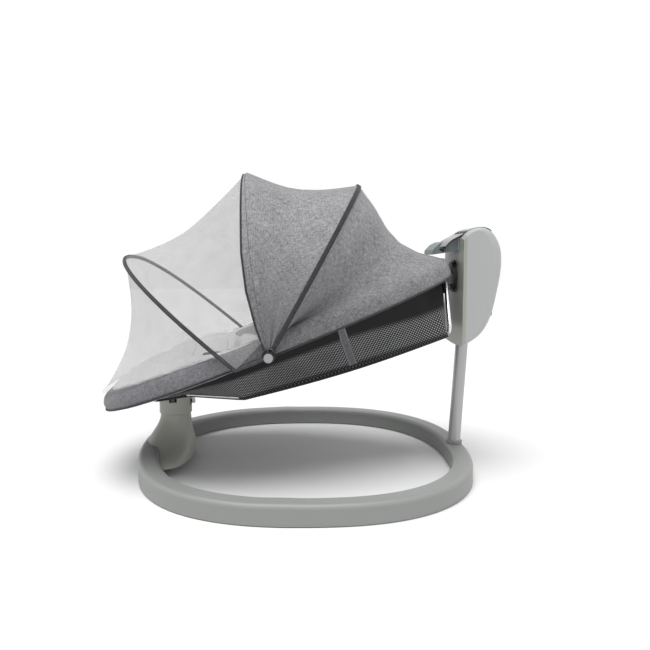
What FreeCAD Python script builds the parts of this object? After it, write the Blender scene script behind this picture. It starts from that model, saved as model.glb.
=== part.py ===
import FreeCAD, Part
import math
import os
import re
from FreeCAD import Placement, Rotation, Vector

# A baby swing: a ring base, a front post, a leaning rear tube with a motor head on it, and a
# reclined seat hung between them with a folding canopy.  X runs from the foot end (-X) to the
# head end (+X) and Z is up.  Sizes are in millimetres and are laid out about the ring's centre;
# at the end everything moves by centre_shift, so the origin is on the floor under the middle of
# the whole object.

doc = FreeCAD.newDocument("BabySwing")
sheet = doc.addObject("Spreadsheet::Sheet", "dims")
nodes = []

DIMENSIONS = {
    # distance that brings the middle of the whole object over the origin
    "centre_shift": 9.5,
    # ring base
    "ring_length": 632, "ring_width": 640, "ring_height": 35, "rail_width": 36,
    "ring_squareness": 2.39, "ring_rise": 13, "rise_angle": 48, "seam_offset": 17,
    "ring_wall": 2.6, "ring_edge_radius": 8, "ring_lift": 1.5, "cover_thick": 2.5,
    "pad_radius": 9, "pad_height": 3, "pad_count": 8,
    "key_length": 50, "key_height": 18, "key_gap": 2, "screw_radius": 2, "screw_head": 3.6, "screw_length": 13,
    "screw_head_height": 1.6, "screw_spacing": 30,
    # front post, swivel and tilt
    "post_x": -256, "post_top": 100, "post_radius": 29, "post_wall": 3,
    "stem_radius": 10, "stem_top": 106.4, "boss_radius": 14, "cap_thick": 1.4,
    "collar_radius": 31.5, "collar_gap": 1.2, "collar_height": 33, "collar_wall": 3, "collar_floor": 5,
    "pin_radius": 4, "pin_height": 129, "notch_width": 15, "lug_width": 12, "lug_thick": 4, "lug_gap": 3,
    "fit_gap": 0.1, "free_gap": 0.4,
    "block_length": 24, "block_width": 40, "glide_radius": 4, "glide_drop": 11.5, "glide_slope": 9,
    "glide_front": 28, "glide_rear": 36.5, "plate_height": 17, "plate_thick": 3, "plate_width": 94,
    # seat frame
    "foot_x": -387, "foot_z": 127, "seat_slope": 21.04, "seat_length": 714, "seat_half_width": 200,
    "seat_squareness": 2.4, "seat_taper": 0.17, "tube_inset": 14, "rim_radius": 8,
    "sleeve_half_width": 11, "sleeve_top": 22, "sleeve_bottom": 12, "fabric_thick": 3,
    "lower_rail_radius": 6, "hoop_radius": 4, "strap_width": 22, "strap_thick": 2,
    "cushion_thick": 26, "soft_gap": 1.2, "cushion_margin": 6,
    "side_strap_along": 470, "side_strap_width": 16,
    "buckle_along": 300, "buckle_length": 36, "buckle_width": 64, "buckle_height": 11, "buckle_corner": 6,
    "buckle_button_radius": 9, "buckle_button_height": 6.4, "buckle_button_low": 7, "buckle_well_low": 5,
    # canopy
    "hub_x": -64, "hub_z": 243, "hub_radius": 9, "hub_pin_radius": 4, "rib_radius": 2.5,
    "first_rib_width": 217, "rib_pitch": 5.4, "eye_thick": 3.4, "head_radius": 7.5, "head_thick": 3, "boss_face": 11,
    "mid_rib_length": 337, "mid_rib_angle": 61, "front_rib_length": 321, "front_rib_angle": 98,
    "bow_length": 286, "bow_angle": 140, "bow_leg": 58, "bow_leg_angle": 201, "rib_squareness": 2.4,
    "canopy_thick": 1.5, "net_thick": 1.0, "gore_edge": 33,
    # rear tube and motor head
    "tube_base_x": 298, "tube_lean": 3.5, "tube_radius": 12, "tube_wall": 1.6, "tube_length": 372,
    "tube_sunk": 24, "socket_wall": 2.5, "socket_rim": 4,
    "sleeve_wall": 2.4, "sleeve_start": 206, "sleeve_length": 160,
    "head_front": 292, "head_depth": 76, "head_half_width": 73, "head_split": 298, "head_wall": 2.7,
    "crank_height": 368, "crank_radius": 20, "crank_disc_radius": 28, "bearing_wall": 3,
    "crank_pin_radius": 4, "crank_pin_length": 27, "yoke_thick": 8, "yoke_half_width": 20,
    "slot_side_gap": 1.8, "slot_up": 12, "slot_down": 3,
    "gear_module": 1.5, "wheel_teeth": 40, "pinion_teeth": 18, "gear_thick": 6, "gear_front": 295,
    "motor_radius": 12, "motor_length": 38, "frame_thick": 2,
    "panel_half_width": 44, "panel_thick": 2.6, "panel_proud": 1.2,
    "button_radius": 5, "button_height": 5, "button_proud": 1.2, "button_pitch": 19,
    "latch_height": 300, "latch_stem_radius": 4, "latch_knob_radius": 11, "latch_knob_length": 9, "latch_proud": 7,
    "inlet_height": 272, "inlet_side": 30, "inlet_radius": 5.5, "inlet_length": 16, "inlet_sunk": 13,
    "inlet_bore": 3, "inlet_floor": 6,
    "board_thick": 1.6, "board_width": 34, "board_height": 60, "chip_side": 9, "chip_thick": 5, "chip_pitch": 14,
    "speaker_radius": 14, "speaker_thick": 4, "magnet_radius": 8, "magnet_thick": 9,
}

for row, (alias, value) in enumerate(DIMENSIONS.items(), start=1):
    cell = "A" + str(row)
    sheet.set(cell, str(value))
    sheet.setAlias(cell, alias)
doc.recompute()

X_AXIS = Vector(1, 0, 0)
Y_AXIS = Vector(0, 1, 0)
Z_AXIS = Vector(0, 0, 1)
AIM = {"X": Rotation(Y_AXIS, 90), "Y": Rotation(X_AXIS, -90), "Z": Rotation()}


def size(alias):
    return float(getattr(sheet, alias))


def cells(text):
    """Turn plain words such as tube_radius into references to the sheet's cells."""
    return re.sub(r"[a-z_]+[a-z]", lambda word: "dims." + word.group(0), str(text))


WORLD = Placement()
SEAT = Placement(Vector(size("foot_x"), 0, size("foot_z")), Rotation(Y_AXIS, -size("seat_slope")))
GLIDE = Placement(Vector(size("post_x"), 0, size("pin_height")), Rotation(Y_AXIS, -size("glide_slope")))
TUBE = Placement(Vector(size("tube_base_x"), 0, size("ring_height")), Rotation(Y_AXIS, size("tube_lean")))
HUB = Placement(Vector(size("hub_x"), 0, size("hub_z")), Rotation())


def bind(item, **properties):
    for name, text in properties.items():
        item.setExpression(name, cells(text))
    return item


def keep(item):
    """Register a finished sub-part: its label names its file."""
    item.Label = item.Name
    nodes.append(item)
    return item


def box(name, length, width, height, frame, at):
    """A box from the lowest corner at, in the given frame."""
    item = bind(doc.addObject("Part::Box", name), Length=length, Width=width, Height=height)
    item.Placement = frame.multiply(Placement(Vector(*at), Rotation()))
    return item


def cylinder(name, radius, height, frame, at, axis="Z"):
    item = bind(doc.addObject("Part::Cylinder", name), Radius=radius, Height=height)
    item.Placement = frame.multiply(Placement(Vector(*at), AIM[axis]))
    return item


def join(name, pieces):
    item = doc.addObject("Part::MultiFuse", name)
    item.Shapes = pieces
    return item


def cut(name, base, tools):
    item = doc.addObject("Part::Cut", name)
    item.Base = base
    item.Tool = tools[0] if len(tools) == 1 else join(name + "_tools", tools)
    return item


def common(name, pieces):
    item = doc.addObject("Part::MultiCommon", name)
    item.Shapes = pieces
    return item


def shaped(name, shape):
    item = doc.addObject("Part::Feature", name)
    item.Shape = shape
    return item


def group(name, pieces):
    item = doc.addObject("Part::Compound", name)
    item.Links = pieces
    return item


def spline(points, closed=False):
    curve = Part.BSplineCurve()
    curve.interpolate(Points=points, PeriodicFlag=closed)
    return curve.toShape()


def polygon(points):
    return Part.makePolygon(points + [points[0]])


def loft(wires, straight=False):
    return Part.makeLoft(wires, True, straight)


def sweep(path, radius, start, direction):
    """A round rod of one radius along a path."""
    ring = Part.Wire(Part.makeCircle(radius, start, direction))
    return Part.Wire(path).makePipeShell([ring], True, False)


def rounded_path(points, radius):
    """Straight runs joined by tangent arcs of one radius."""
    edges = []
    last = points[0]
    for before, corner, after in zip(points, points[1:], points[2:]):
        inward = (before - corner).normalize()
        outward = (after - corner).normalize()
        half = inward.getAngle(outward) / 2
        reach = radius / math.tan(half)
        bisector = (inward + outward).normalize()
        start = corner + inward * reach
        end = corner + outward * reach
        middle = corner + bisector * (radius / math.sin(half) - radius)
        edges.append(Part.LineSegment(last, start).toShape())
        edges.append(Part.Arc(start, middle, end).toShape())
        last = end
    edges.append(Part.LineSegment(last, points[-1]).toShape())
    return edges


def rod(points, rod_radius, bend_radius):
    direction = points[1] - points[0]
    return sweep(rounded_path(points, bend_radius), rod_radius, points[0], direction)


def between(table, at):
    """Straight-line value at a place along a short table of (place, value) pairs."""
    for (low, first), (high, last) in zip(table, table[1:]):
        if at <= high:
            return first + (last - first) * (at - low) / (high - low)
    return table[-1][1]


# ---------------------------------------------------------------- ring base

def ring_radius(angle, inset):
    half_x = size("ring_length") / 2 - inset
    half_y = size("ring_width") / 2 - inset
    power = size("ring_squareness")
    along = (abs(math.cos(angle)) / half_x) ** power
    across = (abs(math.sin(angle)) / half_y) ** power
    return (along + across) ** (-1 / power)


def ring_point(degrees, inset, height):
    """A point on the ring: 0 degrees is the foot end."""
    angle = math.radians(degrees)
    radius = ring_radius(angle, inset)
    return Vector(-radius * math.cos(angle), radius * math.sin(angle), height)


def ring_top(degrees):
    """The ring's height, which rises towards the post."""
    offset = abs((degrees + 180) % 360 - 180)
    reach = size("rise_angle")
    share = math.cos(math.radians(90 * offset / reach)) ** 2 if offset < reach else 0
    return size("ring_height") + size("ring_rise") * share


def ring_section(degrees, inset, bottom, edge):
    """One cross-section of the rail with its two top edges rounded."""
    top = ring_top(degrees) - inset
    outer = inset
    inner = size("rail_width") - inset
    slant = edge * (1 - math.sqrt(0.5))
    places = [(inner, bottom), (outer, bottom), (outer, top - edge)]
    arc_out = [(outer + slant, top - slant), (outer + edge, top)]
    flat = (inner - edge, top)
    arc_in = [(inner - slant, top - slant), (inner, top - edge)]
    corner = [ring_point(degrees, *place) for place in places]
    first = [ring_point(degrees, *place) for place in arc_out]
    second = [ring_point(degrees, *place) for place in arc_in]
    level = ring_point(degrees, *flat)
    edges = [Part.LineSegment(corner[0], corner[1]).toShape(), Part.LineSegment(corner[1], corner[2]).toShape()]
    edges.append(Part.Arc(corner[2], first[0], first[1]).toShape())
    edges.append(Part.LineSegment(first[1], level).toShape())
    edges.append(Part.Arc(level, second[0], second[1]).toShape())
    edges.append(Part.LineSegment(second[1], corner[0]).toShape())
    return Part.Wire(edges)


def ring_sweep(start, end, inset, bottom, edge):
    steps = 16
    stations = [start + (end - start) * step / steps for step in range(steps + 1)]
    return loft([ring_section(station, inset, bottom, edge) for station in stations])


def seam_angle():
    radius = size("ring_width") / 2
    return 90 - math.degrees(math.asin(size("seam_offset") / radius))


def ring_spans():
    seam = seam_angle()
    return {"foot": (-seam, seam), "head": (seam, 360 - seam)}


def ring_band(start, end, inset, low, high):
    """A flat plate that follows the rail between its walls."""
    steps = 16
    wires = []
    for step in range(steps + 1):
        station = start + (end - start) * step / steps
        inner = size("rail_width") - inset
        corners = [(inset, low), (inner, low), (inner, high), (inset, high)]
        wires.append(polygon([ring_point(station, *corner) for corner in corners]))
    return loft(wires)


def screw(name, frame, at):
    """A round-headed screw driven upwards."""
    shank = cylinder(name + "_shank", "screw_radius", "screw_length", frame, at)
    low = (at[0], at[1], at[2] - size("screw_head_height"))
    head = cylinder(name + "_head", "screw_head", "screw_head_height", frame, low)
    return join(name, [shank, head])


def shank_hole(name, frame, at):
    return cylinder(name, "screw_radius", "screw_length", frame, at)


cover_low = size("pad_height")
cover_high = cover_low + size("cover_thick")
rail_middle = size("rail_width") / 2
key_y = size("ring_width") / 2 - rail_middle

screw_places = []
for side in (-1, 1):
    for shift in (-size("screw_spacing") / 2, size("screw_spacing") / 2):
        screw_places.append((-size("seam_offset") + shift, side * key_y, cover_low))

ring_outer = {}
for part_name, (first_angle, last_angle) in ring_spans().items():
    solid = ring_sweep(first_angle, last_angle, 0, size("ring_lift"), size("ring_edge_radius"))
    ring_outer[part_name] = shaped("ring_form_" + part_name, solid)
    inner_edge = size("ring_edge_radius") - size("ring_wall")
    hollow = ring_sweep(first_angle, last_angle, size("ring_wall"), 0, inner_edge)
    socket_way = cylinder("socket_way_" + part_name, "tube_radius + socket_wall", "60", TUBE, (0, 0, -40))
    keep(cut("ring_" + part_name + "_half", ring_outer[part_name],
             [shaped("ring_hollow_" + part_name, hollow), socket_way]))

for part_name, (first_angle, last_angle) in ring_spans().items():
    plate = ring_band(first_angle, last_angle, size("ring_wall") + 0.3, cover_low, cover_high)
    holes = [shank_hole("cover_hole_%s_%d" % (part_name, index), WORLD, place)
             for index, place in enumerate(screw_places)]
    keep(cut("ring_cover_" + part_name, shaped("cover_form_" + part_name, plate), holes))

pads = []
for index in range(int(size("pad_count"))):
    spot = ring_point(360 * (index + 0.5) / size("pad_count"), rail_middle, 0)
    pads.append(cylinder("pad_%d" % index, "pad_radius", "pad_height", WORLD, spot))
keep(group("rubber_feet", pads))

keys = []
for index, side in enumerate((-1, 1)):
    wide = size("rail_width") - 2 * size("ring_wall") - 2 * size("key_gap")
    corner = (-size("seam_offset") - size("key_length") / 2, side * key_y - wide / 2, cover_high + 0.3)
    block = box("key_form_%d" % index, "key_length", "rail_width - 2 * ring_wall - 2 * key_gap",
                "key_height", WORLD, corner)
    holes = [shank_hole("key_hole_%d_%d" % (index, number), WORLD, place)
             for number, place in enumerate(screw_places) if place[1] * side > 0]
    keys.append(cut("joint_key_%d" % index, block, holes))
keep(group("ring_joint_keys", keys))

# ---------------------------------------------------------------- front post

POST_SECTIONS = [
    # height, forward centre, half length, half width
    (17, -10, 45, 103), (30, -10, 46, 90), (46, -9, 45, 60), (66, -5, 37, 40), (84, -1, 31, 31.5),
]


def oval(centre_x, half_x, half_y, height, power=2.3):
    points = []
    for step in range(24):
        angle = math.radians(15 * step)
        radius = ((abs(math.cos(angle)) / half_x) ** power + (abs(math.sin(angle)) / half_y) ** power)
        radius = radius ** (-1 / power)
        points.append(Vector(centre_x + radius * math.cos(angle), radius * math.sin(angle), height))
    return Part.Wire(spline(points, closed=True))


def post_form(inset, top):
    wires = []
    for height, shift, half_x, half_y in POST_SECTIONS:
        wires.append(oval(size("post_x") + shift, half_x - inset, half_y - inset, height))
    neck = size("post_radius") - inset
    wires.append(oval(size("post_x"), neck, neck, top, 2.0))
    return loft(wires)


post_solid = shaped("post_solid", post_form(0, size("post_top")))
post_hollow = shaped("post_hollow", post_form(size("post_wall"), size("post_top") - 10))
post_boss = cylinder("post_boss", "boss_radius", "post_top", WORLD, (size("post_x"), 0, 0))
post_room = cut("post_room", post_hollow, [post_boss])
stem_hole = cylinder("stem_hole", "stem_radius", "post_top + 5", WORLD, (size("post_x"), 0, 0))
ring_room = shaped("ring_room", ring_sweep(-70, 70, -0.3, 0, size("ring_edge_radius")))
keep(cut("post_shell", post_solid, [post_room, stem_hole, ring_room]))

stem_low = POST_SECTIONS[0][0]
stem_bar = cylinder("stem_bar", "stem_radius", "stem_top - %g" % stem_low, WORLD, (size("post_x"), 0, stem_low))
stem_bore = cylinder("stem_bore", "stem_radius - 2.5", "stem_top", WORLD, (size("post_x"), 0, 0))
keep(cut("post_stem", stem_bar, [stem_bore]))

cap_flange = cylinder("cap_flange", "stem_radius + 3", "cap_thick", WORLD, (size("post_x"), 0, size("stem_top")))
cap_plug = cylinder("cap_plug", "stem_radius - 2.5", "12", WORLD, (size("post_x"), 0, size("stem_top") - 12))
keep(join("stem_cap", [cap_flange, cap_plug]))

# ---------------------------------------------------------------- swivel and tilt

collar_low = size("post_top") + size("collar_gap")
collar_cup = cylinder("collar_cup", "collar_radius", "collar_height", WORLD, (size("post_x"), 0, collar_low))
collar_room = cylinder("collar_room", "collar_radius - collar_wall", "collar_height", WORLD,
                       (size("post_x"), 0, collar_low + size("collar_floor")))
bush_outer = size("stem_radius") + size("fit_gap") + 3
collar_hole = cylinder("collar_hole", "stem_radius + fit_gap + 3", "collar_height", WORLD,
                       (size("post_x"), 0, collar_low - 1))
pin_notch = box("pin_notch", "notch_width", "3 * collar_radius", "collar_height", WORLD,
                (size("post_x") - size("notch_width") / 2, -1.5 * size("collar_radius"),
                 size("pin_height") - size("pin_radius")))
glide_notch = box("glide_notch", "3 * collar_radius", "lug_width + 2 * lug_gap", "collar_height + 20", GLIDE,
                  (-1.5 * size("collar_radius"), -size("lug_width") / 2 - size("lug_gap"),
                   -size("glide_drop") - size("glide_radius") - 2.8))
keep(cut("swivel_collar", collar_cup, [collar_room, collar_hole, pin_notch, glide_notch]))

bush_body = cylinder("bush_body", "stem_radius + fit_gap + 3", "collar_floor", WORLD,
                     (size("post_x"), 0, collar_low))
bush_hole = cylinder("bush_hole", "stem_radius + fit_gap", "collar_floor + 2", WORLD,
                     (size("post_x"), 0, collar_low - 1))
keep(cut("swivel_bush", bush_body, [bush_hole]))

keep(cylinder("tilt_pin", "pin_radius", "2 * collar_radius", WORLD,
              (size("post_x"), -size("collar_radius"), size("pin_height")), "Y"))

block_low = -size("glide_drop") - size("glide_radius") - 2.6
block_form = box("block_form", "block_length", "block_width", "glide_drop + glide_radius + 2.6 + pin_radius + 3",
                 GLIDE, (-size("block_length") / 2, -size("block_width") / 2, block_low))
pin_bore = cylinder("pin_bore", "pin_radius + fit_gap", "80", WORLD,
                    (size("post_x"), -40, size("pin_height")), "Y")
glide_bore = cylinder("glide_bore", "glide_radius + fit_gap", "80", GLIDE,
                      (-40, 0, -size("glide_drop")), "X")
keep(cut("tilt_block", block_form, [pin_bore, glide_bore]))

# ---------------------------------------------------------------- seat mount

glide_total = "glide_front + glide_rear"
keep(cylinder("glide_bar", "glide_radius", glide_total, GLIDE, (-size("glide_front"), 0, -size("glide_drop")), "X"))

lug_drop = "plate_height + glide_drop + glide_radius + 0.5"
lug_low = -size("glide_drop") - size("glide_radius") - 0.5
front_lug = box("front_lug", "lug_thick", "lug_width", lug_drop, GLIDE,
                (-size("glide_front"), -size("lug_width") / 2, lug_low))
rear_lug = box("rear_lug", "lug_thick", "lug_width", lug_drop, GLIDE,
               (size("glide_rear") - size("lug_thick"), -size("lug_width") / 2, lug_low))
mount_plate = box("mount_plate", glide_total, "plate_width", "plate_thick", GLIDE,
                  (-size("glide_front"), -size("plate_width") / 2, size("plate_height")))
lug_hole = cylinder("lug_hole", "glide_radius", glide_total + " + 4", GLIDE,
                    (-size("glide_front") - 2, 0, -size("glide_drop")), "X")
keep(cut("seat_bracket", join("bracket_form", [front_lug, rear_lug, mount_plate]), [lug_hole]))

# ---------------------------------------------------------------- seat frame

def seat_half_width(along, offset):
    """Half the seat's width at a distance from the foot tip, outward of the rim tube's line by offset."""
    half = size("seat_length") / 2
    reach = half - size("tube_inset") + offset
    share = min(1.0, abs(along - half) / reach)
    power = size("seat_squareness")
    curve = (1 - share ** power) ** (1 / power)
    return (size("seat_half_width") + offset) * curve * (1 - size("seat_taper") * (along - half) / half)


def seat_point(along, across, up):
    return SEAT.multVec(Vector(along, across, up))


def rim_points(offset, height, start=0, end=360, count=36):
    """Points round the rim at an outward offset, from the foot end."""
    half = size("seat_length") / 2
    power = size("seat_squareness")
    places = []
    for step in range(count):
        angle = math.radians(start + (end - start) * step / count)
        reach = half - size("tube_inset") + offset
        width = size("seat_half_width") + offset
        radius = (abs(math.cos(angle)) / reach) ** power + (abs(math.sin(angle)) / width) ** power
        radius = radius ** (-1 / power)
        along = -radius * math.cos(angle)
        across = radius * math.sin(angle) * (1 - size("seat_taper") * along / half)
        places.append(seat_point(half + along, across, height))
    return places


def rim_loop(section):
    """A closed hoop whose cross-section is (outward, up) corners, made as one lofted ring."""
    count = 40
    loops = [rim_points(outward, up, count=count) for outward, up in section]
    faces = []
    for first, second in zip(loops, loops[1:] + loops[:1]):
        faces.append(Part.makeRuledSurface(spline(first, closed=True), spline(second, closed=True)))
    shell = Part.makeShell(faces)
    shell.sewShape()
    return Part.makeSolid(shell)


rim_wire = Part.Wire(spline(rim_points(0, 0), closed=True))
rim_start = seat_point(size("tube_inset"), 0, 0)
sleeve_side = size("sleeve_half_width")
sleeve_outer = [(-sleeve_side, 13), (-5, size("sleeve_top")), (5, size("sleeve_top")), (sleeve_side, 15),
                (sleeve_side, 2 - size("sleeve_bottom")), (sleeve_side - 4, -size("sleeve_bottom")),
                (-sleeve_side, 3 - size("sleeve_bottom"))]
sleeve_form = shaped("sleeve_form", rim_loop(sleeve_outer))


def rim_pipe(radius):
    profile = Part.Wire(Part.makeCircle(radius, rim_start, Y_AXIS))
    return rim_wire.makePipeShell([profile], True, False)


keep(shaped("rim_tube", rim_pipe(size("rim_radius"))))
rail_low = Vector(-109, 150, 162)
rail_end = Vector(256.6, 98, 264.6)


def lower_rail(side):
    """A bent tube from the mount plate out to the seat's low corner and up to the head end."""
    plate_under = size("plate_height") - size("lower_rail_radius")
    lane = (size("plate_width") / 2) - size("lower_rail_radius")
    front = GLIDE.multVec(Vector(-30, side * lane, plate_under))
    second = GLIDE.multVec(Vector(36, side * (lane + 3), plate_under))
    low = Vector(rail_low.x, side * rail_low.y, rail_low.z)
    end = Vector(rail_end.x, side * rail_end.y, rail_end.z)
    return rod([front, second, low, end], size("lower_rail_radius"), 34)


keep(shaped("lower_rail_left", lower_rail(-1)))
keep(shaped("lower_rail_right", lower_rail(1)))


def rear_hoop(radius):
    """The bright wire hoop that carries the head end between the rim and the lower rails."""
    behind = size("hoop_radius") + 0.4
    drop = Vector(rail_end.x + behind, rail_end.y - 2, rail_end.z + 1.2)
    top = seat_point(size("seat_length") - size("tube_inset") - 1.4, HOOP_TOP, 0)
    knee = Vector(drop.x + 1, drop.y, drop.z + 14)
    half = [top, knee, drop]
    mirrored = [Vector(place.x, -place.y, place.z) for place in half]
    return rod(mirrored + half[::-1], radius, 10)


HOOP_TOP = 40
rim_room = shaped("rim_room", rim_pipe(size("rim_radius") + size("fit_gap")))
keep(cut("rear_hoop", shaped("hoop_form", rear_hoop(size("hoop_radius"))), [rim_room]))

# ---------------------------------------------------------------- soft seat

SLING_DEPTH = [(34, 13), (84, 15), (132, 24), (180, 33), (272, 56), (450, 76), (644, 90), (690, 88)]
SLING_FLOOR = [(34, 40), (84, 80), (132, 110), (272, 140), (450, 122), (644, 88), (690, 60)]


def sling_section(along, inset):
    """The sling's U section; inset moves it inwards by its own thickness and more."""
    top = seat_half_width(along, -size("sleeve_half_width") - size("soft_gap") - inset)
    floor = min(between(SLING_FLOOR, along), top - 8)
    low = -between(SLING_DEPTH, along) + inset
    high = -2
    return [(-top, high), (-floor, low), (floor, low), (top, high)]


def sling_wire(along):
    outer = sling_section(along, 0)
    inner = sling_section(along, size("fabric_thick"))
    corners = outer + inner[::-1]
    return polygon([seat_point(along, across, up) for across, up in corners])


SLING_STATIONS = [40, 52, 84, 132, 180, 215, 272, 300, 420, 450, 540, 600, 660, 672]
keep(shaped("mesh_sling", loft([sling_wire(along) for along in SLING_STATIONS], straight=True)))


def sling_side(along, up, gap):
    """Half the room between the sling's walls at a height, less a gap."""
    low_corner, high_corner = sling_section(along, size("fabric_thick"))[2:]
    share = (up - low_corner[1]) / (high_corner[1] - low_corner[1])
    return low_corner[0] + (high_corner[0] - low_corner[0]) * min(share, 1) - gap


def cushion_top(along):
    return -between(SLING_DEPTH, along) + size("fabric_thick") + size("soft_gap") + size("cushion_thick")


def cushion_wire(along):
    top = cushion_top(along)
    low = top - size("cushion_thick")
    floor = sling_side(along, low, size("soft_gap"))
    side = sling_side(along, top - 6, size("cushion_margin"))
    corners = [(-floor, low), (floor, low), (side, top - 6), (side * 0.86, top), (-side * 0.86, top),
               (-side, top - 6)]
    return polygon([seat_point(along, across, up) for across, up in corners])


keep(shaped("seat_cushion", loft([cushion_wire(along) for along in SLING_STATIONS[1:-1]], straight=True)))


def side_pad(side):
    """A bolster that lines the seat's side above the cushion."""
    wires = []
    for along in SLING_STATIONS[5:11]:
        edge = seat_half_width(along, -size("sleeve_half_width")) - size("cushion_margin")
        low = cushion_top(along) + 2
        foot = sling_side(along, low, size("soft_gap"))
        hip = sling_side(along, -4, size("soft_gap"))
        corners = [(foot - 16, low), (foot, low), (hip, -4), (edge - 3, 24), (edge - 14, 26), (edge - 24, 0)]
        wires.append(polygon([seat_point(along, side * across, up) for across, up in corners]))
    return loft(wires, straight=True)


keep(shaped("side_pads", Part.makeCompound([side_pad(-1), side_pad(1)])))


def flat_strap(points, width_direction, width):
    """A webbing strip with square edges through the given points of its under side."""
    wires = []
    half = Vector(*width_direction) * (width / 2)
    up = Vector(0, 0, size("strap_thick"))
    for place in points:
        corners = [place - half, place + half, place + half + up, place - half + up]
        wires.append(polygon([SEAT.multVec(corner) for corner in corners]))
    return loft(wires, straight=True)


def strap_height(along):
    return cushion_top(along) + size("free_gap")


buckle_along = size("buckle_along")
buckle_start = buckle_along - 17
straps = []
for side in (-1, 1):
    shoulder = [Vector(along, side * across, strap_height(along)) for along, across in
                ((560, 46), (500, 44), (450, 40), (400, 34), (340, 22))]
    straps.append(flat_strap(shoulder, (0, 1, 0), size("strap_width")))
    waist = [Vector(buckle_along, side * across, strap_height(buckle_along - 12)) for across in (34, 60, 98)]
    straps.append(flat_strap(waist, (1, 0, 0), size("strap_width")))
crotch = [Vector(along, 0, strap_height(along)) for along in (210, 240, 272, 282)]
straps.append(flat_strap(crotch, (0, 1, 0), size("strap_width")))
keep(shaped("harness_straps", Part.makeCompound(straps)))

buckle_low = strap_height(buckle_start)
buckle_middle = buckle_start + size("buckle_length") / 2
buckle_body = box("buckle_body", "buckle_length", "buckle_width", "buckle_height", SEAT,
                  (buckle_start, -size("buckle_width") / 2, buckle_low))
buckle_well = cylinder("buckle_well", "buckle_button_radius + free_gap", "buckle_height", SEAT,
                       (buckle_middle, 0, buckle_low + size("buckle_well_low")))
buckle_form = doc.addObject("Part::Fillet", "buckle_form")
buckle_form.Base = buckle_body
doc.recompute()
upright_edges = [index + 1 for index, edge in enumerate(buckle_body.Shape.Edges)
                 if abs(edge.Length - size("buckle_height")) < 0.01]
buckle_form.Edges = [(index, size("buckle_corner"), size("buckle_corner")) for index in upright_edges]
keep(cut("buckle", buckle_form, [buckle_well]))
keep(cylinder("buckle_button", "buckle_button_radius", "buckle_button_height", SEAT,
              (buckle_middle, 0, buckle_low + size("buckle_button_low"))))


def side_strap(side):
    """The grey webbing band down the outside of the sling."""
    along = size("side_strap_along")
    half = size("side_strap_width") / 2
    top = seat_half_width(along, -size("cushion_margin"))
    floor = between(SLING_FLOOR, along) + size("lower_rail_radius") - 2
    low = -between(SLING_DEPTH, along) - 2
    wires = []
    for place in (along - half, along + half):
        high = -size("sleeve_bottom") - 1
        corners = [(top, high), (top + 2, high), (floor + 6, low), (floor + 4, low)]
        wires.append(polygon([seat_point(place, side * across, up) for across, up in corners]))
    return loft(wires, straight=True)


keep(shaped("side_straps", Part.makeCompound([side_strap(-1), side_strap(1)])))

# ---------------------------------------------------------------- canopy

def hub_point(degrees, radius, across):
    angle = math.radians(degrees)
    return HUB.multVec(Vector(radius * math.cos(angle), across, radius * math.sin(angle)))


def arch(degrees, length, half_width, least=0.0, count=18, origin=None):
    """Points of a hoop that stands on the hub line and leans to an angle."""
    power = 2 / size("rib_squareness")
    start = math.asin(min(0.9, (least / length) ** (1 / power))) if least > 0 else 0
    base = origin if origin else Vector(0, 0, 0)
    points = []
    for step in range(count + 1):
        turn = start + (math.pi - 2 * start) * (step / count)
        rise = length * abs(math.sin(turn)) ** power
        across = -half_width * math.copysign(abs(math.cos(turn)) ** power, math.cos(turn))
        points.append(hub_point(degrees, rise, across) + base)
    return points


def rib_lane(index):
    return size("first_rib_width") + index * size("rib_pitch")


def rib(name, index, degrees, length):
    """A wire hoop with a flat eye at each hub pin."""
    half_width = rib_lane(index)
    points = arch(degrees, length, half_width)
    start = points[0]
    hoop = shaped(name + "_hoop", sweep([spline(points)], size("rib_radius"), start, points[1] - start))
    return rib_ends(name, hoop, half_width)


def rib_ends(name, hoop, half_width):
    eyes = []
    holes = []
    for side, tag in ((-1, "near"), (1, "far")):
        middle = HUB.multVec(Vector(0, side * half_width, 0))
        low = (middle.x, middle.y - size("eye_thick") / 2, middle.z)
        eyes.append(cylinder(name + "_eye_" + tag, "hub_radius", "eye_thick", WORLD, low, "Y"))
        below = (middle.x, middle.y - 8, middle.z)
        holes.append(cylinder(name + "_hole_" + tag, "hub_pin_radius + fit_gap", "16", WORLD, below, "Y"))
    return keep(cut(name, join(name + "_form", [hoop] + eyes), holes))


rib("mid_rib", 0, size("mid_rib_angle"), size("mid_rib_length"))
rib("front_rib", 1, size("front_rib_angle"), size("front_rib_length"))


def net_bow():
    """The net's hoop: its legs run down along the rim from the hub before it turns up."""
    half_width = rib_lane(2)
    bend = hub_point(size("bow_leg_angle"), size("bow_leg"), 0) - HUB.Base
    points = arch(size("bow_angle"), size("bow_length"), half_width, origin=bend)
    start = points[0]
    pieces = [shaped("bow_arch", sweep([spline(points)], size("rib_radius"), start, points[1] - start))]
    for side, tag in ((-1, "near"), (1, "far")):
        corner = HUB.Base + bend + Vector(0, side * half_width, 0)
        hub_end = HUB.Base + Vector(0, side * half_width, 0)
        leg = Part.makeCylinder(size("rib_radius"), size("bow_leg"), hub_end, corner - hub_end)
        pieces.append(shaped("bow_leg_" + tag, leg))
        pieces.append(shaped("bow_knee_" + tag, Part.makeSphere(size("rib_radius"), corner)))
    return rib_ends("net_bow", join("bow_form", pieces), half_width)


net_bow()

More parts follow.
